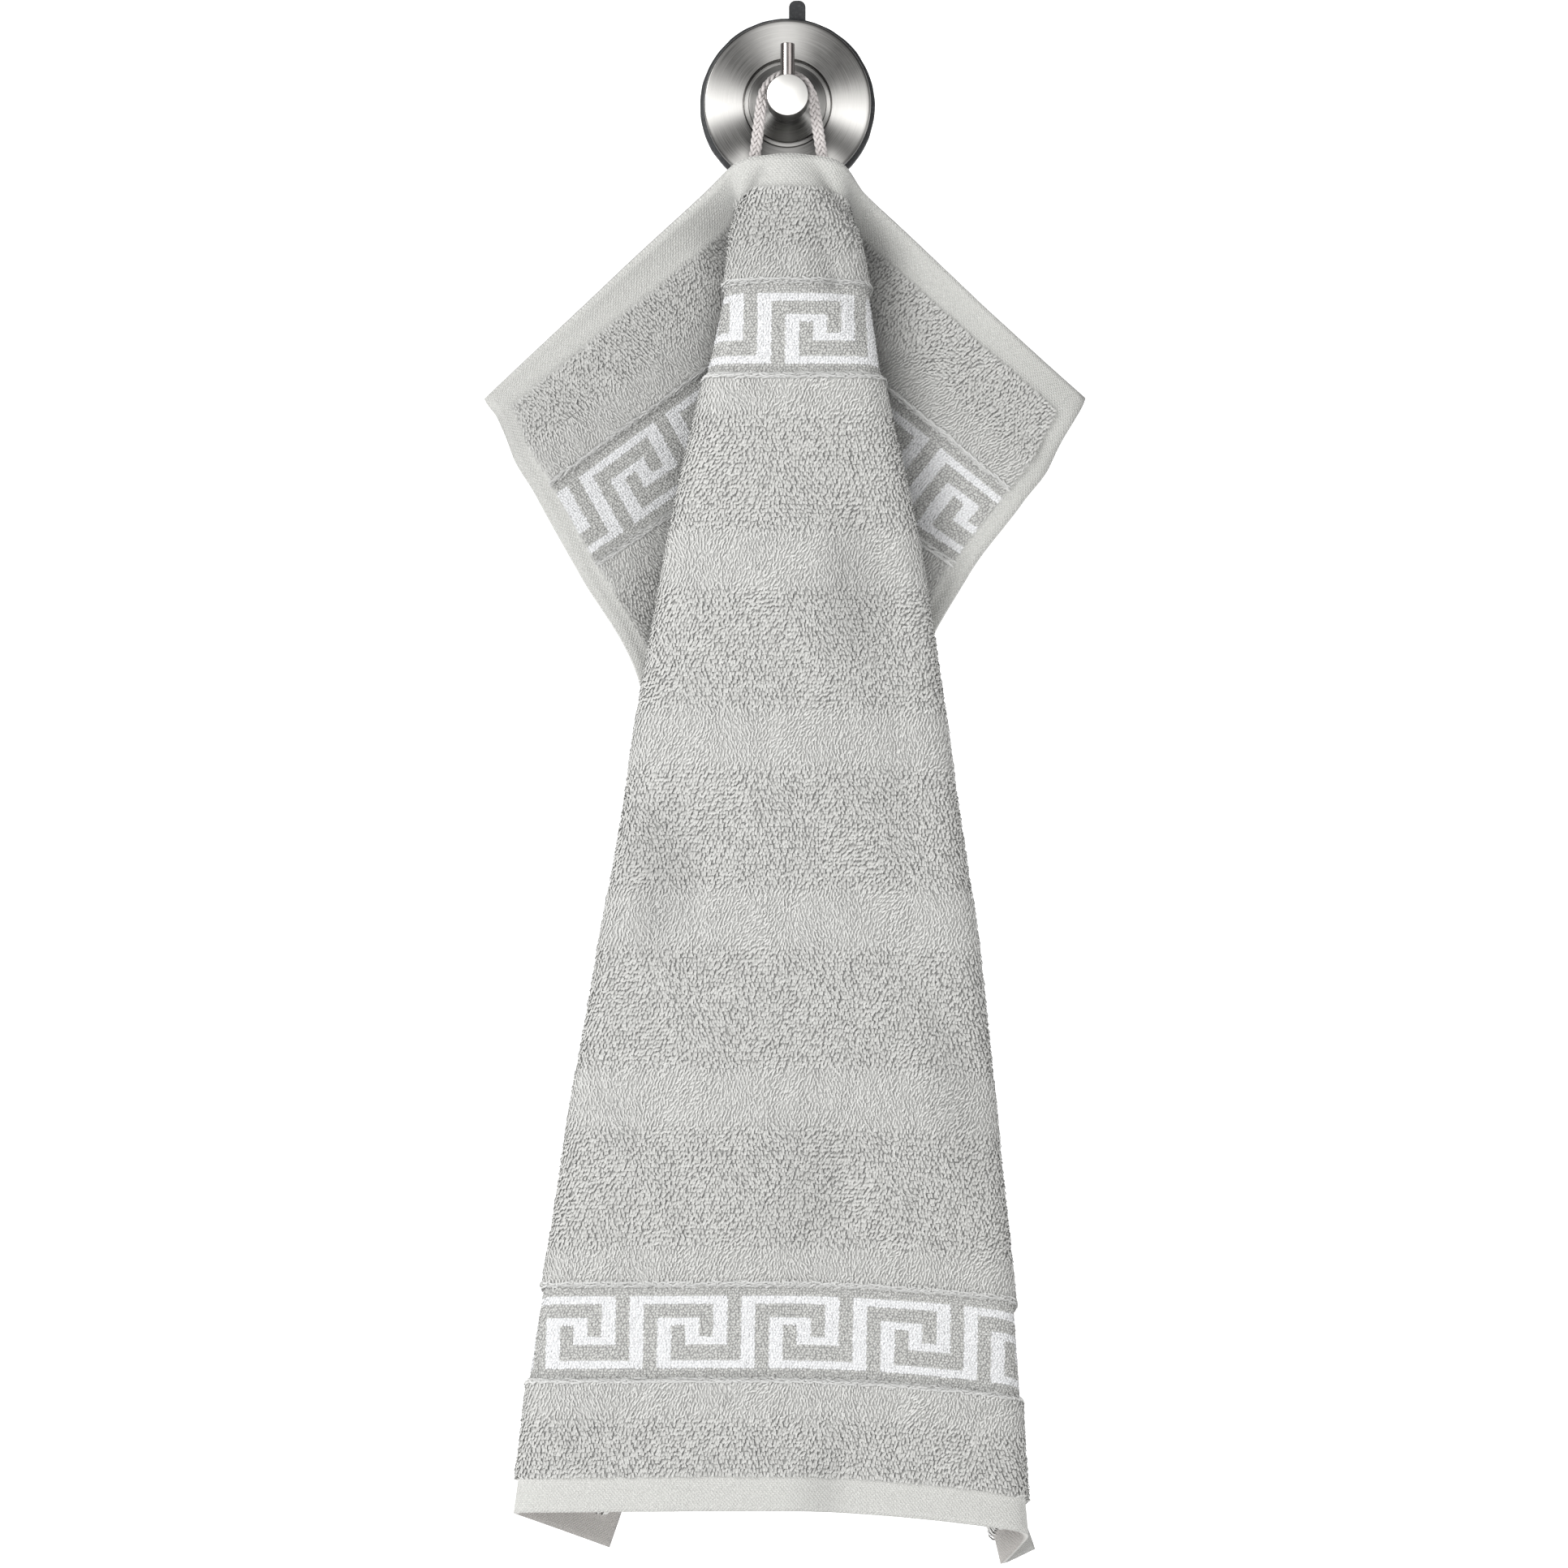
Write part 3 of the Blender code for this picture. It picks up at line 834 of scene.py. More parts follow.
@dataclass(frozen=True)
class TerryFinish(Finish):
    """The woven ground: loops, smooth stripes, key borders, hems and selvedges."""

    pile: Colour = Colour(0.500, 0.500, 0.486)
    white: Colour = Colour(0.755, 0.76, 0.77)
    hem: Colour = Colour(0.585, 0.585, 0.562)
    # The back face's warm tint; near the bottom it also carries painted shade.
    inside: Colour = Colour(0.46, 0.43, 0.41)
    weave: Weave = Weave()
    key: KeyBorder = KeyBorder()

    def build(self) -> bpy.types.Material:
        """Make the material from the "thread" and "zones" attributes.

        thread holds millimetres across, millimetres down and the face. zones holds the
        shares of pile, of smooth stripe and of ridge.
        """
        material, graph, shader = self.start()
        thread = graph.attribute("thread")
        zones = graph.attribute("zones")
        across, down = thread.part("X"), thread.part("Y")
        piled, plush, ridged = zones.part("X"), zones.part("Y"), zones.part("Z")
        lower = down.above(self.weave.length / 2, 1.0)
        below_edge = down - self.weave.border_top - lower * (
            self.weave.lower_top - self.weave.border_top
        )
        depth = self.weave.border_end - self.weave.border_top
        border = below_edge.within(0, depth, 0.8) * piled

        wobble = graph.noise(graph.scaled(thread, 1.1, 1.1, 5.0), 1.0) - 0.5
        line = self.key.line(across + wobble * 0.7, below_edge + wobble * 0.7, 0.55)
        knit = self.knit(graph, across, down)
        loops = self.loops(graph, thread)
        twill = self.twill(graph, across, down)

        grain = graph.noise(graph.scaled(thread, 1.6, 1.3, 5.0), 3.0, 0.6)
        patchy = graph.noise(graph.scaled(thread, 0.035, 0.03, 5.0), 2.0)
        # Under the loops the ground is painted darker than the yarn, as shade in the gaps between
        # loops, over the patterns of the pile's streaks and of the knit.
        pile_shade = graph.shaded(loops, self.pile, 0.70, 0.94)
        mild = loops * 0.4 + 0.6
        smooth_shade = graph.shaded(mild, self.pile, 0.72, 1.04)
        terry = graph.blend(plush, pile_shade, smooth_shade)
        terry = graph.blend(ridged * 0.9, terry, self.pile.dimmed(1.34))
        grey_knit = graph.shaded(knit, self.pile, 0.50, 0.90)
        white_knit = graph.shaded(knit, self.white, 0.88, 1.0)
        knitted = graph.blend(line, grey_knit, white_knit)
        coloured = graph.blend(border, terry, knitted)
        flat = graph.shaded(twill, self.hem, 0.78, 1.16)
        whole = graph.blend(piled, flat, coloured)
        whole = graph.blend(grain * 0.12, whole, self.pile.dimmed(0.45))
        whole = graph.blend(patchy * 0.08, whole, self.pile.dimmed(0.55))
        # Painted shade in the valleys, hollows and upper front, darkening the ground's colour.
        whole = graph.blend(graph.attribute("painted_shade", "Fac") * 0.74, whole, self.pile.dimmed(0.25))
        # The back face is tinted a little warmer and darker, and is painted much darker towards
        # the bottom, as shade inside the bottom fold.
        rear = 1 - thread.part("Z").above(0.0, 1.0)
        rear = rear * (0.12 + down.above(470.0, 30.0) * 0.63)
        back_tint_and_shade = graph.shaded(twill, self.inside, 0.62, 0.86)
        whole = graph.blend(rear, whole, back_tint_and_shade)

        rise = loops * (1 - plush * 0.55) * piled * (1 - border)
        rise = rise + knit * border * 0.8 + twill * (1 - piled) * 0.45
        self.link(graph, shader, {"Base Color": whole, "Normal": graph.bump(rise, 0.0007)})
        return material

    @staticmethod
    def loops(graph: Graph, thread: Signal) -> Signal:
        """Close-set loops lying mostly down the cloth, swirling a little."""
        swirl = graph.noise(graph.scaled(thread, 0.09, 0.07, 5.0), 1.0) - 0.5
        across = thread.part("X") + swirl * 16
        down = thread.part("Y") + swirl * 9
        streaks = graph.noise(graph.combine(across * 1.35, down * 0.62, 0.0), 1.5, 0.6)
        return ((streaks - 0.36) * 3.6).clamped()

    @staticmethod
    def knit(graph: Graph, across: Signal, down: Signal) -> Signal:
        """Upright columns of small tight loops."""
        uneven = graph.noise(graph.combine(across * 0.8, down * 0.8, 0.0), 1.0) - 0.5
        crinkle = graph.noise(graph.combine(across * 1.15, down * 0.95, 3.0), 1.0, 0.6)
        columns = (across + uneven * 1.2).wave(1.05)
        rows = (down + across * 0.5 + uneven * 2.2).wave(1.25)
        return (columns * 0.25 + columns * rows * 0.35 + (crinkle - 0.3) * 1.2).clamped()

    @staticmethod
    def twill(graph: Graph, across: Signal, down: Signal) -> Signal:
        """The small staggered dots of a flat woven hem, a little uneven."""
        uneven = graph.noise(graph.combine(across * 0.6, down * 0.6, 7.0), 1.0) - 0.5
        aside, below = across * (1 / 1.3), down * (1 / 1.5)
        dots = (aside + below + uneven * 0.9).wave(1.0) * (aside - below + uneven * 0.7).wave(1.0)
        specks = graph.noise(graph.combine(across * 1.5, down * 1.5, 9.0), 1.0)
        return (dots * 0.8 + (specks - 0.35) * 0.9).clamped()


@dataclass(frozen=True)
class PileFinish(Finish):
    """Single loops of the pile, each a little lighter or darker than the next, and painted lighter
    at the top than at the foot.
    """

    # light and dark span the loops' painted light, from lit tops to shaded feet, and their random
    # tone.
    light: Colour = Colour(0.560, 0.560, 0.543)
    dark: Colour = Colour(0.425, 0.423, 0.41)
    plush: Colour = Colour(0.60, 0.60, 0.583)
    white: Colour = Colour(0.745, 0.75, 0.76)

    def build(self) -> bpy.types.Material:
        """Make the material from the "tone", "lift", "sort", "white" and "nook" attributes."""
        material, graph, shader = self.start()
        tone = graph.attribute("tone", "Fac")
        lift = graph.attribute("lift", "Fac")
        sort = graph.attribute("sort", "Fac")
        # Painted light: each loop is painted lighter towards its top and darker at its foot, and
        # lighter or darker at random by its tone.
        lit = (lift * 0.75 + tone * 0.45 - 0.05).clamped()
        shade = graph.blend(lit, self.dark.dimmed(1.0), self.light.dimmed(1.0))
        soft = graph.blend(lit * 0.7 + 0.3, self.dark.dimmed(1.05), self.plush.dimmed(1.0))
        bright = graph.shaded(lit, self.white, 0.94, 1.0)
        grey = graph.blend(sort, shade, soft)
        colour = graph.blend(graph.attribute("white", "Fac"), grey, bright)
        # Painted shade in the valleys, hollows and upper front, darkening the loops' colour.
        colour = graph.blend(graph.attribute("painted_shade", "Fac") * 0.74, colour, self.dark.dimmed(0.3))
        self.link(graph, shader, {"Base Color": colour})
        return material


@dataclass(frozen=True)
class BraidFinish(Finish):
    """Soft cotton strands of the hanging loop."""

    yarn: Colour = Colour(0.57, 0.538, 0.528)

    def build(self) -> bpy.types.Material:
        """Make the material, with fine fibres and the "over" attribute's painted shade where
        strands dip under others.
        """
        material, graph, shader = self.start()
        place = graph.object_place()
        # Painted shade: the strands are darker where they dip under their neighbours.
        over = (graph.attribute("over", "Fac") * 0.7 + 0.45).clamped()
        fibres = graph.noise(graph.scaled(place, 2600, 2600, 900), 2.0, 0.6)
        patches = graph.noise(graph.scaled(place, 260, 260, 260), 1.0)
        shade = graph.shaded(fibres, self.yarn, 0.80, 1.18)
        shade = graph.blend(patches * 0.25, shade, self.yarn.dimmed(0.8))
        shade = graph.blend(over, self.yarn.dimmed(0.58), shade)
        self.link(graph, shader, {"Base Color": shade, "Normal": graph.bump(fibres, 0.00012)})
        return material


class Brushing(Enum):
    """Which way a steel surface was brushed."""

    ROUND = "round"
    ALONG = "along"
    POLISHED = "polished"


class Gleam(NamedTuple):
    """A painted reflection: a bright sector of the kind round-brushed steel shows under a lamp.

    Its angle is counted in degrees from +X, a higher sharpness makes it narrower, and it
    starts at a radius in millimetres.
    """

    angle: float
    sharpness: float
    level: float
    start: float = 0.0


# Painted reflections of the plate, the hub and the peg, put into their base colour.
PLATE_GLEAMS = rows_of(
    Gleam,
    (178, 17, 0.58),
    (188, 60, 0.34),
    (-4, 17, 0.60),
    (-15, 60, 0.38),
    (93, 10, 0.44),
    (-90, 16, 0.22),
    (-127, 90, 0.60, 23.0),
    (-54, 90, 0.70, 23.0),
)
HUB_GLEAMS = rows_of(
    Gleam,
    (180, 16, 0.60),
    (0, 16, 0.60),
    (95, 5, 0.28),
    (-90, 8, 0.30, 10.5),
    (-142, 120, 0.80),
    (-38, 120, 0.80),
)
PEG_GLEAMS = rows_of(
    Gleam,
    (60, 12, 0.34),
    (150, 16, 0.26),
    (-75, 20, 0.12),
)


@dataclass(frozen=True)
class SteelFinish(Finish):
    """Brushed steel, its grain round the hook's axis or along the piece, its reflections painted
    into its colour.
    """

    steel: Colour = Colour(0.63, 0.62, 0.60)
    brushing: Brushing = Brushing.ROUND
    gleams: tuple[Gleam, ...] = PLATE_GLEAMS
    shade: float = 0.09
    darkest: float = 0.02
    brightest: float = 1.34
    edge_from: float = 30.6
    edge_shade: float = 0.55
    bright_from: float = 33.8
    end_bright: float = 0.97
    gleam_edge: float = 5.0
    fine: float = 4200.0
    grain_shows: float = 0.26
    smudge_shows: float = 0.08
    grain_rough: float = 0.16
    smudge_rough: float = 0.10

    def build(self) -> bpy.types.Material:
        """Make the material on Object coordinates about the hook's axis."""
        material, graph, shader = self.start()
        place = graph.object_place()
        x, y, z = (place.part(axis) for axis in "XYZ")
        radius = (x * x + z * z).math("SQRT") + 0.0001
        smudge = graph.noise(graph.scaled(place, 130, 130, 130), 3.0, 0.6)
        grain = None
        if self.brushing is Brushing.ALONG:
            along = graph.combine(x * self.fine, y * self.fine, z * 160)
            grain = graph.noise(along, 2.0, 0.65)
            # Painted highlight streaks along the pin, with its grain.
            gleam = self.lengthwise(x) + (grain - 0.5) * 0.25
        else:
            # Painted reflections: bright sectors by angle about the axis.
            gleam = self.sectors(x / radius, z / radius, radius) + self.shade
        if self.brushing is Brushing.ROUND:
            turn = z.math("ARCTAN2", x)
            about = graph.combine(radius * self.fine, turn * 1.4, y * 3600)
            grain = graph.noise(about, 2.5, 0.7)
            gleam = gleam + (grain - 0.5) * self.grain_shows
            gleam = gleam + (smudge - 0.5) * self.smudge_shows
            # Painted shade: a darker band at the rolled rim.
            gleam = gleam * (1 - radius.above(self.edge_from * MM, 0.5 * MM) * self.edge_shade)
        if self.brushing is Brushing.POLISHED:
            # Painted highlight: the peg's end face is painted near white.
            end = (y * -1.0).above(self.bright_from * MM, 0.1 * MM)
            gleam = end * self.end_bright + (1 - end) * gleam
        # The base colour carries the painted reflections, from darkest to brightest.
        colour = graph.shaded(gleam.clamped(), self.steel, self.darkest, self.brightest)
        signals = {"Base Color": colour}
        if grain is not None:
            rough = (grain - 0.5) * self.grain_rough + (smudge - 0.5) * self.smudge_rough
            rough = rough + self.roughness
            signals["Roughness"] = rough.clamped()
            signals["Normal"] = graph.bump(grain, 0.00002, 0.4)
        self.link(graph, shader, signals)
        return material

    def sectors(self, level: Signal, upright: Signal, radius: Signal) -> Signal:
        """The painted reflections: the bright sectors that round brushing shows under two lights.

        Args:
            level: The cosine of the angle from +X.
            upright: Its sine.
            radius: The distance from the axis, in metres.

        Returns:
            Their brightness.
        """
        total: Signal | None = None
        for gleam in self.gleams:
            angle = math.radians(gleam.angle)
            facing = (level * math.cos(angle) + upright * math.sin(angle)).math("MAXIMUM", 0.0)
            part = facing.math("POWER", gleam.sharpness) * gleam.level
            if gleam.start:
                part = part * radius.above(gleam.start * MM, self.gleam_edge * MM)
            total = part if total is None else total + part
        return total

    @staticmethod
    def lengthwise(x: Signal) -> Signal:
        """Two painted highlight streaks on a thin upright rod."""
        beside = x.math("ABSOLUTE")
        streak = beside.within(0.45 * MM, 1.3 * MM, 0.4 * MM)
        return streak * 0.8 + 0.12


@dataclass(frozen=True)
class RubberFinish(Finish):
    """Matt black rubber with faint moulding marks and dust."""

    rubber: Colour = Colour(0.016, 0.017, 0.019)
    dust: Colour = Colour(0.075, 0.078, 0.08)

    def build(self) -> bpy.types.Material:
        """Make the material on Object coordinates."""
        material, graph, shader = self.start()
        place = graph.object_place()
        marks = graph.noise(graph.scaled(place, 420, 420, 160), 3.0, 0.6)
        specks = graph.noise(graph.scaled(place, 900, 900, 900), 3.0, 0.7)
        dusty = ((specks - 0.5) * 3).clamped()
        colour = graph.blend(dusty * 0.7, self.rubber.dimmed(1.0), self.dust.dimmed(1.0))
        rough = (marks - 0.5) * 0.25 + self.roughness
        signals = {
            "Base Color": colour,
            "Roughness": rough.clamped(),
            "Normal": graph.bump(marks, 0.00015),
        }
        self.link(graph, shader, signals)
        return material


@dataclass
class TowelCloth:
    """The towel's ground: one closed sheet with its hems, selvedges and borders."""

    drape: Drape = field(default_factory=Drape)
    columns: int = 58
    crowding: float = 2.2
    crowd_width: float = 9.0
    row_step: float = 2.6
    hem_half: float = 0.95
    pile_half: float = 1.95
    plush_half: float = 2.35
    border_half: float = 1.35
    ridge: float = 0.75
    above_hem: float = 0.6
    below_hem: float = 1.2
    beside_border: float = 1.4
    beside_selvedge: float = 0.8
    clear_of_selvedge: float = 2.4

    def rows(self) -> np.ndarray:
        """Distances down, with rows on both sides of each woven edge."""
        weave = self.drape.weave
        edges = [0.0, weave.hem - self.above_hem, weave.hem + self.below_hem]
        for edge in (weave.border_top, weave.border_end):
            edges += [edge - self.beside_border, edge, edge + self.beside_border]
        edges += [weave.length - edge for edge in reversed(edges)]
        rows: list[float] = []
        for start, stop in zip(edges[:-1], edges[1:]):
            parts = max(1, round((stop - start) / self.row_step))
            rows += list(np.linspace(start, stop, parts, endpoint=False))
        return np.array([*rows, weave.length])

    def half_columns(self, side: Side, down: np.ndarray) -> np.ndarray:
        """Distances out from the middle, crowded in the fold and in the valley."""
        weave = self.drape.weave
        reach = weave.width / 2
        out = np.linspace(0, reach, self.drape.steps)
        places = np.zeros((len(down), self.columns + 1))
        for k, (fold_at, valley_at) in enumerate(zip(*self.drape.fold_lines(side, down))):
            density = np.ones_like(out)
            for bend in (fold_at, valley_at):
                density += self.crowding * np.exp(-(((out - bend) / self.crowd_width) ** 2))
            total = np.concatenate([[0.0], np.cumsum((density[1:] + density[:-1]) / 2)])
            places[k] = np.interp(np.linspace(0, total[-1], self.columns + 1), total, out)
        inner = reach - weave.selvedge
        step = self.beside_selvedge
        places[:, -4:-1] = [inner - step, inner + step, (inner + reach) / 2]
        places[:, -5] = np.minimum(places[:, -5], inner - self.clear_of_selvedge)
        return places

    def thickness(self, down: np.ndarray, out: np.ndarray) -> np.ndarray:
        """Half the sheet's thickness, in millimetres, at each point."""
        weave = self.drape.weave
        plush = weave.plush(down)
        border = weave.bordered(down)
        pile = self.pile_half + (self.plush_half - self.pile_half) * plush
        pile += (self.border_half - pile) * border + self.ridge * weave.ridged(down)
        return self.hem_half + (pile - self.hem_half) * weave.piled(down, out)

    def build(self, finish: bpy.types.Material) -> bpy.types.Object:
        """Build the closed sheet.

        Args:
            finish: The woven finish.

        Returns:
            The towel's ground.
        """
        down = self.rows()
        left = self.half_columns(Side.LEFT, down)
        right = self.half_columns(Side.RIGHT, down)
        across = np.concatenate([-left[:, :0:-1], right], axis=1)
        grid = self.drape.surface(down, across)
        half = self.thickness(grid.down, grid.across)
        rows, columns = across.shape
        layers = [
            (grid.points + grid.normals * (half * face.value)[..., None]).reshape(-1, 3)
            for face in Face
        ]
        index = np.arange(rows * columns).reshape(rows, columns)
        cells = [index[:-1, :-1], index[1:, :-1], index[1:, 1:], index[:-1, 1:]]
        front = np.stack([cell.ravel() for cell in cells], axis=1)
        back = front[:, ::-1] + rows * columns
        rim = np.concatenate(
            [index[0, :-1], index[:-1, -1], index[-1, :0:-1], index[:0:-1, 0]]
        )
        after = np.roll(rim, -1)
        edge = np.stack([rim, after, after + rows * columns, rim + rows * columns], axis=1)
        mesh = mesh_from(
            "towel_cloth", np.concatenate(layers) * MM, np.concatenate([front, back, edge])
        )
        self.note_places(mesh, grid)
        return add_piece("towel_cloth", mesh, finish)

    def note_places(self, mesh: bpy.types.Mesh, grid: Surface) -> None:
        """Store each point's place on the cloth, its woven zone and its painted shade."""
        weave = self.drape.weave
        down, across = grid.down.ravel(), grid.across.ravel()
        zones = [weave.piled(down, across), weave.plush(down), weave.ridged(down)]
        zones = np.stack(zones, axis=1)
        threads = [
            np.stack([across, down, np.full_like(down, face.value)], axis=1) for face in Face
        ]
        # Painted shade for the front face; the back face gets none.
        painted_shade = self.drape.painted_shade(grid.down[:, 0], grid.across).ravel()
        write_attribute(mesh, "thread", np.concatenate(threads))
        write_attribute(mesh, "zones", np.concatenate([zones, zones]))
        write_attribute(mesh, "painted_shade", np.concatenate([painted_shade, 0 * painted_shade]))


class LoopCut(NamedTuple):
    """A sort of loop: its length, width and height as shares of the tall loops'."""

    long: float
    broad: float
    stand: float


TALL = LoopCut(1.0, 1.0, 1.0)
SHORN = LoopCut(1.1, 0.68, 0.8)
RIDGE = LoopCut(1.3, 0.7, 0.85)
KNIT = LoopCut(0.52, 0.80, 0.55)


@dataclass
class PileLoops:
    """The terry pile: thousands of small loops standing on both faces of the cloth."""

    cloth: TowelCloth
    pitch: Mapping[Face, tuple[float, float]] = field(
        default_factory=lambda: {Face.FRONT: (1.12, 1.5), Face.BACK: (1.7, 2.3)}
    )
    knit_pitch: tuple[float, float] = (1.05, 0.98)
    key: KeyBorder = KeyBorder()
    bands: Mapping[Face, int] = field(default_factory=lambda: {Face.FRONT: 4, Face.BACK: 2})
    steps: Mapping[Face, tuple[int, int]] = field(
        default_factory=lambda: {Face.FRONT: (2, 2), Face.BACK: (3, 1)}
    )
    hidden_share: float = 0.25
    ridge_pitch: float = 1.0
    loop_length: float = 2.45
    ribbon: float = 0.88
    crown: float = 0.26
    height: float = 1.25
    sunk: float = 0.30
    lean: float = 0.60
    swirl: float = 24.0
    slant: float = 10.0
    unruly: float = 0.26
    knit_swing: float = 0.55
    jitter: float = 0.30
    piled_from: float = 0.75
    ridged_from: float = 0.6
    knit_from: float = 0.5
    plain_until: float = 0.25
    ridge_swing: float = 0.22
    ridge_white: float = 0.22
    ridge_rows: tuple[float, float] = (-0.5, 0.5)
    knit_starts: float = 1.0
    knit_stops: float = 0.6
    front_hidden: tuple[float, float] = (9.0, 6.0)
    back_hidden: float = 12.0
    seed: int = 11

    def lay(self, down: np.ndarray, across: np.ndarray) -> np.ndarray:
        """The direction that the loops lie in, in radians from straight down."""
        wander = (
            np.sin(down / 9.3 + 2.1 * np.sin(across / 13.7))
            + np.sin(across / 8.1 - down / 21 + 0.8)
            + 0.7 * np.sin((down + across) / 5.2)
            + 0.7 * np.sin((down - 1.4 * across) / 6.4 + 2)
        )
        return np.radians(self.swirl * wander / 2.2 - self.slant)

    def tucked(self, face: Face, down: np.ndarray, across: np.ndarray) -> np.ndarray:
        """Where a face lies hidden between the folds and needs fewer loops."""
        hidden = np.zeros(across.shape, bool)
        for side in Side:
            fold_at, valley_at = self.cloth.drape.fold_lines(side, down)
            out = across * side.value
            if face is Face.FRONT:
                near, far = fold_at + self.front_hidden[0], valley_at - self.front_hidden[1]
            else:
                near, far = fold_at - self.back_hidden, fold_at + self.back_hidden
            hidden |= (out > near[:, None]) & (out < far[:, None])
        return hidden

    def seats(
        self,
        face: Face,
        rng: np.random.Generator,
        down: np.ndarray,
        across: np.ndarray,
        knitted: bool = False,
    ) -> dict[str, np.ndarray]:
        """The seats of the loops on a grid.

        Args:
            face: Which face of the cloth.
            rng: The source of the unevenness.
            down: Distances down, one for each row.
            across: Signed distances across, a row of them for each down.
            knitted: Whether they are the low tight loops of a key border.

        Returns:
            The loops' places, directions and sizes by attribute name.
        """
        weave = self.cloth.drape.weave
        aside, below = self.knit_pitch if knitted else self.pitch[face]
        grid = self.cloth.drape.surface(down, across)
        jitter = rng.uniform(-self.jitter, self.jitter, (2, *across.shape))
        jitter *= np.array([aside, below])[:, None, None]
        half = self.cloth.thickness(grid.down + jitter[1], grid.across + jitter[0])
        angle = self.lay(grid.down, grid.across) + rng.normal(0, self.unruly, across.shape)
        plush, ridged = weave.plush(grid.down), weave.ridged(grid.down)
        ridge = (ridged > self.ridged_from) & (not knitted)
        swing = rng.normal(0, self.ridge_swing, across.shape)
        angle = np.where(ridge, math.pi / 2 + swing, angle)
        if knitted:
            angle = rng.normal(0, self.knit_swing, across.shape)
        lying = (
            grid.lengthwise * np.cos(angle)[..., None] + grid.crosswise * np.sin(angle)[..., None]
        )
        outward = grid.normals * face.value
        points = (
            grid.points
            + grid.crosswise * jitter[0][..., None]
            + grid.lengthwise * jitter[1][..., None]
            + outward * (half - self.sunk)[..., None]
        )
        tilt = self.lean * (0.6 + 0.6 * rng.random(across.shape))
        risen = unit(outward + lying * tilt[..., None])
        coarse = 1.0 if knitted else math.sqrt(aside * below / math.prod(self.pitch[Face.FRONT]))
        size = (0.85 + 0.3 * rng.random(across.shape)) * coarse
        usual = np.array(KNIT if knitted else TALL)
        cut = usual + (np.array(SHORN) - usual) * plush[..., None]
        cut = np.where(ridge[..., None], np.array(RIDGE), cut)
        cut[..., :2] *= size[..., None]
        cut[..., 2] *= 0.75 + 0.5 * rng.random(across.shape)
        keep = weave.piled(grid.down, grid.across) > self.piled_from
        bordered = weave.bordered(grid.down)
        plain = (bordered < self.plain_until) | ridge
        keep &= (bordered > self.knit_from) if knitted else plain
        keep &= (rng.random(across.shape) < self.hidden_share) | ~self.tucked(face, down, across)
        white = self.white_share(grid.down, grid.across + jitter[0]) * knitted
        found = {
            "points": points,
            "risen": risen,
            "lying": lying,
            "size": cut,
            "sort": np.maximum(plush, ridge),
            "white": white + self.ridge_white * ridge,
            # Painted shade, on the front face only.
            "painted_shade": self.cloth.drape.painted_shade(down, across) * (face is Face.FRONT),
        }
        return {name: values[keep] for name, values in found.items()}

    def white_share(self, down: np.ndarray, across: np.ndarray) -> np.ndarray:
        """1 where a border's loop belongs to the white key."""
        weave = self.cloth.drape.weave
        top = np.where(down > weave.length / 2, weave.lower_top, weave.border_top)
        return self.key.is_white(across, down - top)

    def seedbed(
        self, face: Face, rng: np.random.Generator, low: float, high: float
    ) -> bpy.types.Mesh:
        """Points for the loops of one band of one face.

        Args:
            face: Which face.
            rng: The source of the unevenness.
            low: The band's upper end, in millimetres down.
            high: Its lower end.

        Returns:
            A mesh of points with the loops' directions and sizes.
        """
        weave = self.cloth.drape.weave
        aside, below = self.pitch[face]
        reach = weave.width / 2 - weave.selvedge - aside / 2
        down = np.arange(low + below / 2, high, below)
        columns = np.linspace(-reach, reach, round(2 * reach / aside))
        across = columns[None, :] + np.zeros((len(down), 1))
        across[::2] += aside / 4
        across[1::2] -= aside / 4
        beds = [self.seats(face, rng, down, across)]
        for edge in (weave.border_top, weave.border_end):
            for line in (edge, weave.length - edge):
                if face is Face.FRONT and low <= line < high:
                    rows = line + np.array(self.ridge_rows)
                    along = np.linspace(-reach, reach, round(2 * reach / self.ridge_pitch))
                    beds.append(self.seats(face, rng, rows, along[None, :] + np.zeros((2, 1))))
        knit_aside, knit_below = self.knit_pitch
        for top in (weave.border_top, weave.lower_top):
            if face is Face.FRONT and low <= top < high:
                end = top + weave.border_end - weave.border_top - self.knit_stops
                rows = np.arange(top + self.knit_starts, end, knit_below)
                along = np.arange(-reach, reach, knit_aside)[None, :] + np.zeros((len(rows), 1))
                along[::2] += knit_aside / 2
                beds.append(self.seats(face, rng, rows, along, knitted=True))
        joined = {name: np.concatenate([bed[name] for bed in beds]) for name in beds[0]}
        mesh = bpy.data.meshes.new("loop_seats")
        mesh.from_pydata((joined.pop("points") * MM).tolist(), [], [])
        for name, values in joined.items():
            write_attribute(mesh, name, values)
        return mesh

    def tree(self, face: Face, material: bpy.types.Material) -> GrowTree:
        """The group that sets a loop on every seat, rounder ones on the front."""
        arch_steps, crown_steps = self.steps[face]
        made = GrowTree(
            f"terry_loops_{face.name.lower()}",
            {
                "Loop length": ("NodeSocketFloat", self.loop_length * MM),
                "Ribbon width": ("NodeSocketFloat", self.ribbon * MM),
                "Loop height": ("NodeSocketFloat", self.height * MM),
                "Crown": ("NodeSocketFloat", self.crown * MM * (face is Face.FRONT)),
                "Arch points": ("NodeSocketInt", arch_steps + 1),
                "Crown points": ("NodeSocketInt", crown_steps + 1),
                "Seed": ("NodeSocketInt", self.seed),
            },
        )
        graph = made.graph
        reach = made.given("Loop length") * 0.5
        width = made.given("Ribbon width") * 0.5
        rise = graph.combine(0.0, 0.0, made.given("Loop height") * 2.0)
        arch = self._bow(graph, reach, rise, made.given("Arch points"))
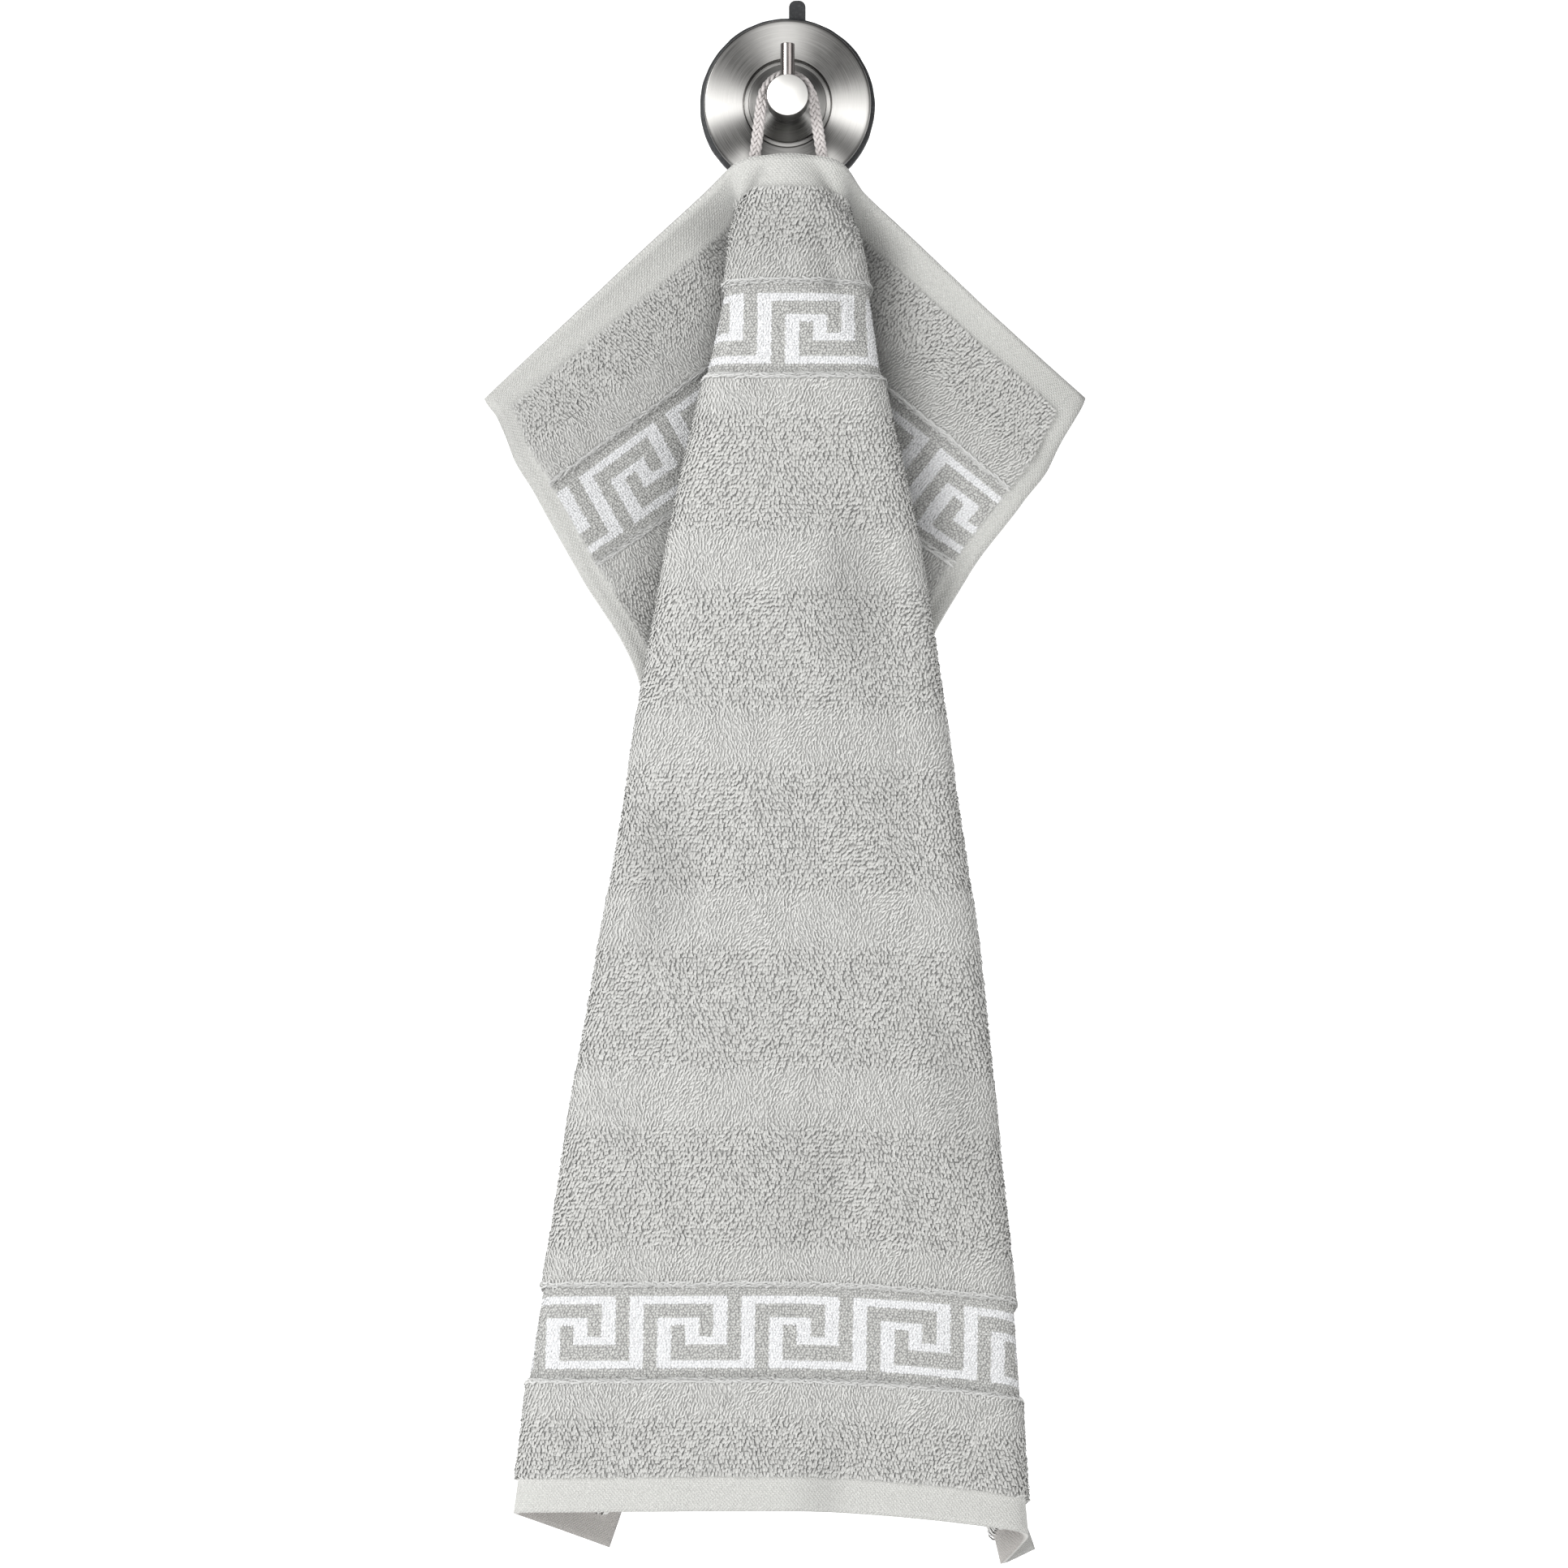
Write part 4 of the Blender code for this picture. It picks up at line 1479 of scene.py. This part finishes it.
        # lift, the height along each loop's arch, carries the finish's painted light.
        lifts = graph.node("GeometryNodeSplineParameter", {}, {}, "Factor")
        lift = (lifts * math.pi).math("SINE")
        lifted = self._noted(graph, arch, "lift", lift, "POINT")
        crown = graph.combine(0.0, made.given("Crown") * 2.0, 0.0)
        edge = self._bow(graph, width, crown, made.given("Crown points"))
        inputs = {"Curve": lifted, "Profile Curve": edge}
        ribbon = graph.node("GeometryNodeCurveToMesh", {}, inputs)
        inputs = {"Geometry": ribbon, "Shade Smooth": True}
        smooth = graph.node("GeometryNodeSetShadeSmooth", {}, inputs)
        rotation = graph.node(
            "FunctionNodeAlignRotationToVector",
            {"axis": "Z"},
            {"Vector": self._vector(graph, "risen")},
        )
        rotation = graph.node(
            "FunctionNodeAlignRotationToVector",
            {"axis": "X", "pivot_axis": "Z"},
            {"Rotation": rotation, "Vector": self._vector(graph, "lying")},
        )
        loops = graph.node(
            "GeometryNodeInstanceOnPoints",
            {},
            {
                "Points": made.given("Geometry"),
                "Instance": smooth,
                "Rotation": rotation,
                "Scale": self._vector(graph, "size"),
            },
        )
        seed = {"Seed": made.given("Seed")}
        tone = graph.node("FunctionNodeRandomValue", {"data_type": "FLOAT"}, seed, 1)
        made.close(self._noted(graph, loops, "tone", tone, "INSTANCE"), material)
        return made

    @staticmethod
    def _bow(graph: Graph, reach: Signal, middle: Signal, points: Signal) -> Signal:
        """A curve along X with evenly spaced points, bowed towards its middle handle."""
        ends = {"Start": graph.combine(reach * -1.0, 0.0, 0.0)}
        ends["End"] = graph.combine(reach, 0.0, 0.0)
        inputs = {"Resolution": 12, "Middle": middle, **ends}
        curve = graph.node("GeometryNodeCurveQuadraticBezier", {}, inputs)
        inputs = {"Curve": curve, "Count": points}
        return graph.node("GeometryNodeResampleCurve", {"mode": "COUNT"}, inputs)

    @staticmethod
    def _noted(graph: Graph, geometry: Signal, name: str, value: Signal, domain: str) -> Signal:
        """Store a number on the geometry under a name."""
        settings = {"data_type": "FLOAT", "domain": domain}
        inputs = {"Geometry": geometry, "Name": name, "Value": value}
        return graph.node("GeometryNodeStoreNamedAttribute", settings, inputs)

    @staticmethod
    def _vector(graph: Graph, name: str) -> Signal:
        """Read a named vector inside a Geometry Nodes group."""
        made = graph.tree.nodes.new("GeometryNodeInputNamedAttribute")
        made.data_type = "FLOAT_VECTOR"
        made.inputs["Name"].default_value = name
        return Signal(graph, next(out for out in made.outputs if out.enabled))

    def build(self, finish: bpy.types.Material) -> list[bpy.types.Object]:
        """Grow the pile, band by band so that no piece grows too large.

        Args:
            finish: The loops' finish.

        Returns:
            The bands of the pile.
        """
        rng = np.random.default_rng(self.seed)
        weave = self.cloth.drape.weave
        pieces = []
        for face in Face:
            made = self.tree(face, finish)
            count = self.bands[face]
            edges = np.linspace(weave.hem, weave.length - weave.hem, count + 1)
            for number, (low, high) in enumerate(zip(edges[:-1], edges[1:]), start=1):
                name = f"pile_{face.name.lower()}_{number}"
                seats = self.seedbed(face, rng, low, high)
                drop = ("risen", "lying", "size")
                pieces.append(made.grow(name, seats, drop))
        return pieces


Leg = tuple[tuple[float, float, float], tuple[float, float, float]]


@dataclass
class HangerLoop:
    """The hanging loop: a flat braid over the peg, its ends behind the top hem."""

    peg_radius: float = 7.65
    clearance: float = 0.6
    width: float = 4.6
    thickness: float = 2.2
    from_wall: float = 24.3
    lift: float = 8.0
    flat_below: float = 7.0
    flat_over: float = 12.0
    left_leg: Leg = ((-12.2, -24.6, -22.5), (-12.2, -24.6, -32.0))
    right_leg: Leg = ((13.0, -24.7, -22.5), (13.0, -24.7, -32.0))
    strands: int = 6
    strand_radius: float = 0.62
    strand_sides: int = 6
    plait: float = 15.0
    step: float = 0.30

    def route(self) -> np.ndarray:
        """The braid's middle line in millimetres, up the left leg and down the right."""
        wrap = self.peg_radius + self.clearance + self.thickness / 2
        angles = np.radians(np.linspace(180 - self.lift, self.lift, 40))
        arc = np.stack(
            [wrap * np.cos(angles), np.full_like(angles, -self.from_wall), wrap * np.sin(angles)],
            axis=1,
        )
        upper_left, lower_left = np.array(self.left_leg)
        upper_right, lower_right = np.array(self.right_leg)
        corners = np.concatenate([[lower_left, upper_left], arc, [upper_right, lower_right]])
        lengths = np.linalg.norm(np.diff(corners, axis=0), axis=1)
        lengths = np.concatenate([[0], np.cumsum(lengths)])
        count = round(lengths[-1] / self.step)
        wanted = np.linspace(0, lengths[-1], count + 1)
        return np.stack([np.interp(wanted, lengths, line) for line in corners.T], axis=1)

    def build(self, finish: bpy.types.Material) -> bpy.types.Object:
        """Plait the strands along the route.

        Args:
            finish: The cotton finish.

        Returns:
            The braid.
        """
        route = self.route()
        ahead = unit(np.gradient(route, axis=0))
        turned = np.clip((self.flat_below - route[:, 2]) / self.flat_over, 0, 1)
        turned = turned**2 * (3 - 2 * turned) * np.sign(route[:, 0]) * math.pi / 2
        wall = np.array([0.0, 1.0, 0.0])
        level = unit(wall - (ahead @ wall)[:, None] * ahead)
        upright = np.cross(ahead, level)
        broad = level * np.cos(turned)[:, None] + upright * np.sin(turned)[:, None]
        through = np.cross(ahead, broad)
        along = np.arange(len(route)) * self.step
        reach = self.width / 2 - self.strand_radius
        depth = self.thickness / 2 - self.strand_radius
        vertices, edges, heights = [], [], []
        for k in range(self.strands):
            aside, over = self.weave_strand(along, k)
            heights.append(over)
            aside, over = aside * reach, over * depth
            first = sum(len(part) for part in vertices)
            vertices.append(route + broad * aside[:, None] + through * over[:, None])
            edges += [(first + n, first + n + 1) for n in range(len(route) - 1)]
        mesh = bpy.data.meshes.new("strand_lines")
        mesh.from_pydata((np.concatenate(vertices) * MM).tolist(), edges, [])
        write_attribute(mesh, "over", self.seen_height(np.array(heights), turned).ravel())
        return self.tree(finish).grow("braided_loop", mesh)

    @staticmethod
    def seen_height(over: np.ndarray, turned: np.ndarray) -> np.ndarray:
        """The strands' height from -1 to 1, counted up on the side that faces the room."""
        return over * np.where(turned > 0, 1.0, -1.0)

    def weave_strand(self, along: np.ndarray, number: int) -> tuple[np.ndarray, np.ndarray]:
        """A strand's way through the plait, over two and under two.

        Args:
            along: Distances along the braid in millimetres.
            number: Which strand.

        Returns:
            How far aside and how far up it lies, each from -1 to 1.
        """
        turn = 2 * math.pi * (along / self.plait + number / self.strands)
        aside = np.arcsin(0.96 * np.sin(turn)) / np.arcsin(0.96)
        from_edge = (turn - math.pi / 2 + math.pi) % (2 * math.pi) - math.pi
        sign = np.clip(3 * np.sin(from_edge), -1, 1)
        over = 1.4 * np.cos(self.strands / 2 * np.abs(from_edge) + math.pi / 4)
        return aside, sign * np.clip(over, -1, 1)

    def tree(self, finish: bpy.types.Material) -> GrowTree:
        """The group that turns the strands' lines into round strands."""
        made = GrowTree(
            "braid_strands",
            {
                "Strand radius": ("NodeSocketFloat", self.strand_radius * MM),
                "Strand sides": ("NodeSocketInt", self.strand_sides),
            },
        )
        graph = made.graph
        lines = graph.node("GeometryNodeMeshToCurve", {}, {"Mesh": made.given("Geometry")})
        ring = graph.node(
            "GeometryNodeCurvePrimitiveCircle",
            {},
            {"Resolution": made.given("Strand sides"), "Radius": made.given("Strand radius")},
        )
        tubes = graph.node(
            "GeometryNodeCurveToMesh",
            {},
            {"Curve": lines, "Profile Curve": ring, "Fill Caps": True},
        )
        inputs = {"Geometry": tubes, "Shade Smooth": True}
        smooth = graph.node("GeometryNodeSetShadeSmooth", {}, inputs)
        made.close(smooth, finish)
        return made

    def length(self) -> float:
        """The braid's length in metres."""
        route = self.route()
        return float(np.linalg.norm(np.diff(route, axis=0), axis=1).sum()) * MM


class ProfilePoint(NamedTuple):
    """A point of a turned piece's profile: radius and distance from the wall, in mm."""

    radius: float
    away: float


def turned_mesh(name: str, profile: Sequence[ProfilePoint], sides: int) -> bpy.types.Mesh:
    """Turn a profile about the hook's axis.

    Args:
        name: The mesh's name.
        profile: The profile, from the front inside to the back, closed by itself.
        sides: The number of sides.

    Returns:
        A closed mesh. Points of radius 0 become one vertex each.
    """
    angles = np.linspace(0, 2 * math.pi, sides, endpoint=False)
    points: list[tuple[float, float, float]] = []
    rings: list[np.ndarray] = []
    for radius, away in profile:
        first = len(points)
        if radius == 0:
            points.append((0.0, -away * MM, 0.0))
            rings.append(np.full(sides, first))
        else:
            points += [
                (radius * MM * math.cos(a), -away * MM, radius * MM * math.sin(a)) for a in angles
            ]
            rings.append(np.arange(first, first + sides))
    if profile[0].radius > 0:
        rings.append(rings[0])
    faces = []
    for inner, outer in zip(rings[:-1], rings[1:]):
        for k in range(sides):
            after = (k + 1) % sides
            corners = [inner[k], inner[after], outer[after], outer[k]]
            faces.append(list(dict.fromkeys(int(corner) for corner in corners)))
    return mesh_from(name, np.array(points), faces)


def round_corner(
    centre: ProfilePoint, size: float, start: float, stop: float
) -> list[ProfilePoint]:
    """Points round a corner of a profile, angles in degrees from outward."""
    return [
        ProfilePoint(centre.radius + size * math.cos(a), centre.away + size * math.sin(a))
        for a in np.radians(np.linspace(start, stop, 7))
    ]


def capped_skin(
    start: tuple[float, float, float],
    rings: Sequence[np.ndarray],
    end: tuple[float, float, float],
) -> tuple[np.ndarray, list[list[int]]]:
    """Close a row of rings with a point at either end.

    Args:
        start: The point before the first ring.
        rings: The rings, all with the same number of points.
        end: The point after the last ring.

    Returns:
        The points and the faces.
    """
    sides = len(rings[0])
    points = np.concatenate([[start], *rings, [end]])
    last = 1 + (len(rings) - 1) * sides
    faces = []
    for k in range(sides):
        after = (k + 1) % sides
        faces.append([0, 1 + k, 1 + after])
        for first in range(1, last, sides):
            second = first + sides
            faces.append([first + k, second + k, second + after, first + after])
        faces.append([len(points) - 1, last + after, last + k])
    return points, faces


def face_outward(mesh: bpy.types.Mesh) -> None:
    """Turn every face of a closed mesh outward."""
    work = bmesh.new()
    work.from_mesh(mesh)
    bmesh.ops.recalc_face_normals(work, faces=work.faces)
    work.to_mesh(mesh)
    work.free()


def sharpen(mesh: bpy.types.Mesh, degrees: float) -> None:
    """Keep edges crisp where faces meet at more than an angle."""
    mesh.set_sharp_from_angle(angle=math.radians(degrees))


@dataclass
class SuctionCup:
    """The rubber cup against the wall, with the tab that peels it off."""

    radius: float = 33.1
    depth: float = 4.0
    lip: float = 1.2
    uneven: float = 0.14
    tab_width: float = 6.3
    tab_thickness: float = 1.8
    tab_reach: float = 6.6
    tab_offset: float = 3.7
    tab_from_wall: float = 1.0
    tab_root: float = 4.0
    tab_corner: float = 2.6
    tab_ease: float = 0.35
    tab_taper: float = 0.93
    sides: int = 160

    def disc(self) -> tuple[np.ndarray, list[list[int]]]:
        """The cup as a disc with a rounded, slightly uneven edge."""
        profile = [
            (self.radius - 1.5, self.depth),
            (self.radius - 0.5, self.depth - 0.3),
            (self.radius - 0.1, self.depth - 0.9),
            (self.radius, self.lip + 0.6),
            (self.radius, 0.5),
            (self.radius - 0.4, 0.0),
        ]
        angles = np.linspace(0, 2 * math.pi, self.sides, endpoint=False)
        wave = (
            np.sin(angles * 9 + 1.0)
            + 0.8 * np.sin(angles * 17 + 2.2)
            + 0.6 * np.sin(angles * 31 + 0.4)
        )
        rings = []
        for radius, away in profile:
            edge = radius - self.uneven * (1 - np.minimum(wave / 2.4, 1))
            places = [edge * np.cos(angles), np.full_like(angles, -away), edge * np.sin(angles)]
            rings.append(np.stack(places, axis=1))
        return capped_skin((0.0, -self.depth, 0.0), rings, (0.0, 0.0, 0.0))

    def tab(self) -> tuple[np.ndarray, list[list[int]]]:
        """The pull tab, its top rounded and its edges eased."""
        half, top = self.tab_width / 2, self.radius + self.tab_reach
        corner = np.radians(np.linspace(0, 90, 8))
        right = [
            (half - self.tab_corner + self.tab_corner * math.cos(a),
             top - self.tab_corner + self.tab_corner * math.sin(a))
            for a in corner
        ]
        outline = [(half, self.radius - self.tab_root), *right]
        outline += [(-x, z) for x, z in reversed(outline)]
        ring = np.array(outline)
        middle = ring.mean(axis=0)
        points, faces = [], []
        top_edge = self.tab_thickness - self.tab_ease
        rises = (0.0, self.tab_ease, top_edge, self.tab_thickness)
        layers = list(zip(rises, (self.tab_taper, 1.0, 1.0, self.tab_taper)))
        for rise, share in layers:
            shaped = middle + (ring - middle) * share
            points += [(x + self.tab_offset, -self.tab_from_wall - rise, z) for x, z in shaped]
        count = len(ring)
        for layer in range(len(layers) - 1):
            for k in range(count):
                after = (k + 1) % count
                low, high = layer * count, (layer + 1) * count
                faces.append([low + k, low + after, high + after, high + k])
        faces.append(list(range(count))[::-1])
        faces.append([3 * count + k for k in range(count)])
        return np.array(points), faces

    def build(self, finish: bpy.types.Material) -> bpy.types.Object:
        """Mould the cup and its tab."""
        disc, disc_faces = self.disc()
        tab, tab_faces = self.tab()
        tab_faces = [[corner + len(disc) for corner in face] for face in tab_faces]
        points = np.concatenate([disc, tab]) * MM
        mesh = mesh_from("rubber_cup", points, disc_faces + tab_faces)
        face_outward(mesh)
        sharpen(mesh, 50)
        return add_piece("rubber_cup", mesh, finish)


@dataclass
class HookPlate:
    """The dished steel cover over the suction cup."""

    radius: float = 31.3
    bore: float = 16.3
    back: float = 4.3
    face: float = 10.5
    rounding: float = 0.9
    chamfer: float = 0.5
    sides: int = 128

    def build(self, finish: bpy.types.Material) -> bpy.types.Object:
        """Turn the cover with its rolled rim and its chamfered bore."""
        corner = ProfilePoint(self.radius - self.rounding, self.face - self.rounding)
        profile = rows_of(
            ProfilePoint,
            (self.bore + self.chamfer, self.face),
            (self.bore + self.chamfer + 0.35, self.face + 0.05),
            (self.radius - self.rounding - 1.0, self.face + 0.05),
            *round_corner(corner, self.rounding, 84, 0),
            (self.radius, self.back + 0.4),
            (self.radius - 0.4, self.back),
            (self.bore, self.back),
            (self.bore, self.face - self.chamfer),
        )
        mesh = turned_mesh("cover_plate", profile, self.sides)
        sharpen(mesh, 35)
        return add_piece("cover_plate", mesh, finish)


@dataclass
class HookPeg:
    """The hub with its straight cone, and the round peg."""

    hub_radius: float = 14.7
    hub_edge: float = 10.0
    cone_end: float = 17.0
    cone_tip: float = 8.0
    radius: float = 7.65
    end: float = 34.0
    chamfer: float = 0.4
    flange: float = 7.4
    flange_radius: float = 16.2
    back: float = 4.3
    sides: int = 96

    def build(
        self, cone_finish: bpy.types.Material, peg_finish: bpy.types.Material
    ) -> list[bpy.types.Object]:
        """Turn the hub with its cone, and the peg with its flat bright end.

        Args:
            cone_finish: The hub's brushed finish.
            peg_finish: The peg's smoother finish.

        Returns:
            The hub and the peg.
        """
        cone = rows_of(
            ProfilePoint,
            (0, self.cone_end - 0.1),
            (self.cone_tip - 0.25, self.cone_end - 0.1),
            (self.cone_tip, self.cone_end - 0.3),
            (self.hub_radius - 0.9, self.hub_edge + 0.55),
            (self.hub_radius - 0.2, self.hub_edge + 0.1),
            (self.hub_radius, self.hub_edge - 0.5),
            (self.hub_radius, self.flange),
            (self.flange_radius, self.flange),
            (self.flange_radius, self.back),
            (0, self.back),
        )
        rod = rows_of(
            ProfilePoint,
            (0, self.end),
            (self.radius - self.chamfer, self.end),
            (self.radius - 0.1, self.end - 0.15),
            (self.radius, self.end - self.chamfer),
            (self.radius, self.cone_end),
            (0, self.cone_end),
        )
        hub = turned_mesh("hook_hub", cone, self.sides)
        peg = turned_mesh("peg", rod, self.sides)
        for mesh in (hub, peg):
            sharpen(mesh, 30)
        return [add_piece("hook_hub", hub, cone_finish), add_piece("peg", peg, peg_finish)]


@dataclass
class StopPin:
    """The short pin that stands upright in the peg."""

    radius: float = 2.6
    from_wall: float = 30.2
    top: float = 19.5
    seat: float = 4.0
    bevel: float = 0.3
    sides: int = 48

    def build(self, finish: bpy.types.Material) -> bpy.types.Object:
        """Stand the pin in its bore, its top edge broken."""
        profile = [
            (self.radius - self.bevel, self.top),
            (self.radius, self.top - self.bevel),
            (self.radius, self.seat),
        ]
        angles = np.linspace(0, 2 * math.pi, self.sides, endpoint=False)
        rings = []
        for radius, height in profile:
            places = [radius * np.cos(angles), radius * np.sin(angles) - self.from_wall]
            rings.append(np.stack([*places, np.full_like(angles, height)], axis=1))
        ends = [(0.0, -self.from_wall, height) for height in (self.top, self.seat)]
        points, faces = capped_skin(ends[0], rings, ends[1])
        mesh = mesh_from("upright_pin", points * MM, faces)
        sharpen(mesh, 30)
        return add_piece("upright_pin", mesh, finish)


class Lamp(NamedTuple):
    """A square soft light: its name, place, aim, size and power."""

    name: str
    place: tuple[float, float, float]
    aim: tuple[float, float, float]
    size: float
    power: float


@dataclass
class Studio:
    """A pale floor that sweeps up behind, soft lights and the photograph's camera."""

    eye: tuple[float, float, float] = (-0.0013, -1.900, -0.2553)
    lens: float = 115.71
    sensor: float = 36.0
    sees_to: float = 50.0
    floor: float = -0.80
    sweep_start: float = 2.2
    sweep_radius: float = 1.2
    height: float = 3.0
    half_width: float = 9.0
    floor_colour: Colour = Colour(0.94, 0.94, 0.94)
    glow: float = 0.6
    world: float = 0.5
    lamps: tuple[Lamp, ...] = (
        Lamp("front", (-0.1, -2.5, 0.15), (0.0, 0.0, -0.1), 1.5, 9.0),
        Lamp("key", (-1.5, -1.7, 0.55), (0.0, 0.0, -0.42), 1.0, 36.0),
        Lamp("fill", (1.7, -1.9, -0.1), (0.0, 0.0, -0.4), 1.2, 2.0),
    )

    def build(self) -> None:
        """Place the camera, the sweep and the lights."""
        self.place_camera()
        self.build_sweep()
        for lamp in self.lamps:
            self.hang(lamp)
        world = bpy.data.worlds.new("soft_white")
        world.use_nodes = True
        ground = world.node_tree.nodes["Background"].inputs
        ground["Color"].default_value = (1, 1, 1, 1)
        ground["Strength"].default_value = self.world
        bpy.context.scene.world = world
        bpy.context.scene.view_settings.view_transform = "Standard"

    def place_camera(self) -> None:
        """Look straight at the wall from the photograph's distance."""
        data = bpy.data.cameras.new("camera")
        data.lens = self.lens
        data.sensor_width = self.sensor
        data.clip_end = self.sees_to
        camera = bpy.data.objects.new("camera", data)
        camera.location = self.eye
        camera.rotation_euler = (math.radians(90), 0, 0)
        bpy.context.scene.collection.objects.link(camera)
        bpy.context.scene.camera = camera

    def build_sweep(self) -> None:
        """A floor that curves up into a plain backdrop."""
        angles = np.linspace(0, math.pi / 2, 13)
        profile = [(-self.half_width, self.floor)]
        profile += [
            (
                self.sweep_start + self.sweep_radius * math.sin(a),
                self.floor + self.sweep_radius * (1 - math.cos(a)),
            )
            for a in angles
        ]
        profile.append((self.sweep_start + self.sweep_radius, self.height))
        points, faces = [], []
        for y, z in profile:
            points += [(-self.half_width, y, z), (self.half_width, y, z)]
        for k in range(len(profile) - 1):
            faces.append((2 * k, 2 * k + 1, 2 * k + 3, 2 * k + 2))
        finish = Finish("studio_white", roughness=0.9)
        material, _, shader = finish.start()
        shader.inputs["Base Color"].default_value = self.floor_colour.dimmed(1.0)
        shader.inputs["Emission Color"].default_value = (1, 1, 1, 1)
        shader.inputs["Emission Strength"].default_value = self.glow
        mesh = mesh_from("floor_sweep", np.array(points), faces)
        sweep = add_piece("floor_sweep", mesh, material)

    @staticmethod
    def hang(lamp: Lamp) -> None:
        """Add a soft light aimed at a point."""
        data = bpy.data.lights.new(lamp.name, "AREA")
        data.shape = "SQUARE"
        data.size = lamp.size
        data.energy = lamp.power
        hung = bpy.data.objects.new(lamp.name, data)
        hung.location = lamp.place
        aim = Vector(lamp.aim) - Vector(lamp.place)
        hung.rotation_euler = aim.to_track_quat("-Z", "Y").to_euler()
        bpy.context.scene.collection.objects.link(hung)


def declare(pieces: Sequence[bpy.types.Object]) -> None:
    """Let pieces ride on the object's one body."""
    for piece in pieces:
        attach(piece, "root")


def report(pieces: Sequence[bpy.types.Object]) -> None:
    """Log each piece's name and size."""
    for piece in pieces:
        LOG.info("%s: %d faces", piece.name, len(piece.data.polygons))


def main() -> None:
    """Build the studio, the towel, its loop and the hook."""
    logging.basicConfig(level=logging.INFO)
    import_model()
    Studio().build()

    steel_plate = SteelFinish("plate_steel", roughness=0.32, metallic=1.0).build()
    steel_cone = SteelFinish(
        "cone_steel", roughness=0.30, metallic=1.0, gleams=HUB_GLEAMS, shade=0.08
    ).build()
    steel_peg = SteelFinish(
        "peg_steel",
        roughness=0.36,
        metallic=1.0,
        brushing=Brushing.POLISHED,
        gleams=PEG_GLEAMS,
        shade=0.16,
    ).build()
    steel_pin = SteelFinish(
        "pin_steel",
        roughness=0.26,
        metallic=1.0,
        brushing=Brushing.ALONG,
        steel=Colour(0.66, 0.60, 0.58),
    ).build()
    rubber = RubberFinish("cup_rubber", roughness=0.55, specular=0.4).build()

    cloth = TowelCloth()
    soft = {"roughness": 0.95, "sheen": 0.25, "specular": 0.2}
    ground = cloth.build(TerryFinish("terry_ground", **soft).build())
    pile = PileLoops(cloth).build(PileFinish("pile_loops", **soft).build())
    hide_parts("towel")
    declare([ground, *pile])
    report([ground, *pile])

    loop = HangerLoop()
    braid = loop.build(BraidFinish("cotton_braid", roughness=0.9, sheen=0.2, specular=0.2).build())
    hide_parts("hanger_loop")
    declare([braid])
    route = loop.route() * MM
    loop.length()

    plate = HookPlate().build(steel_plate)
    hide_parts("hook_plate")
    hub, peg = HookPeg().build(steel_cone, steel_peg)
    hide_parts("hook_peg")
    pin = StopPin().build(steel_pin)
    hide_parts("stop_pin")
    declare([plate, hub, peg, pin])
    cup = SuctionCup().build(rubber)
    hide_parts("suction_cup")
    declare([cup])
    report([braid, plate, hub, peg, pin, cup])


if __name__ == "__main__":
    main()
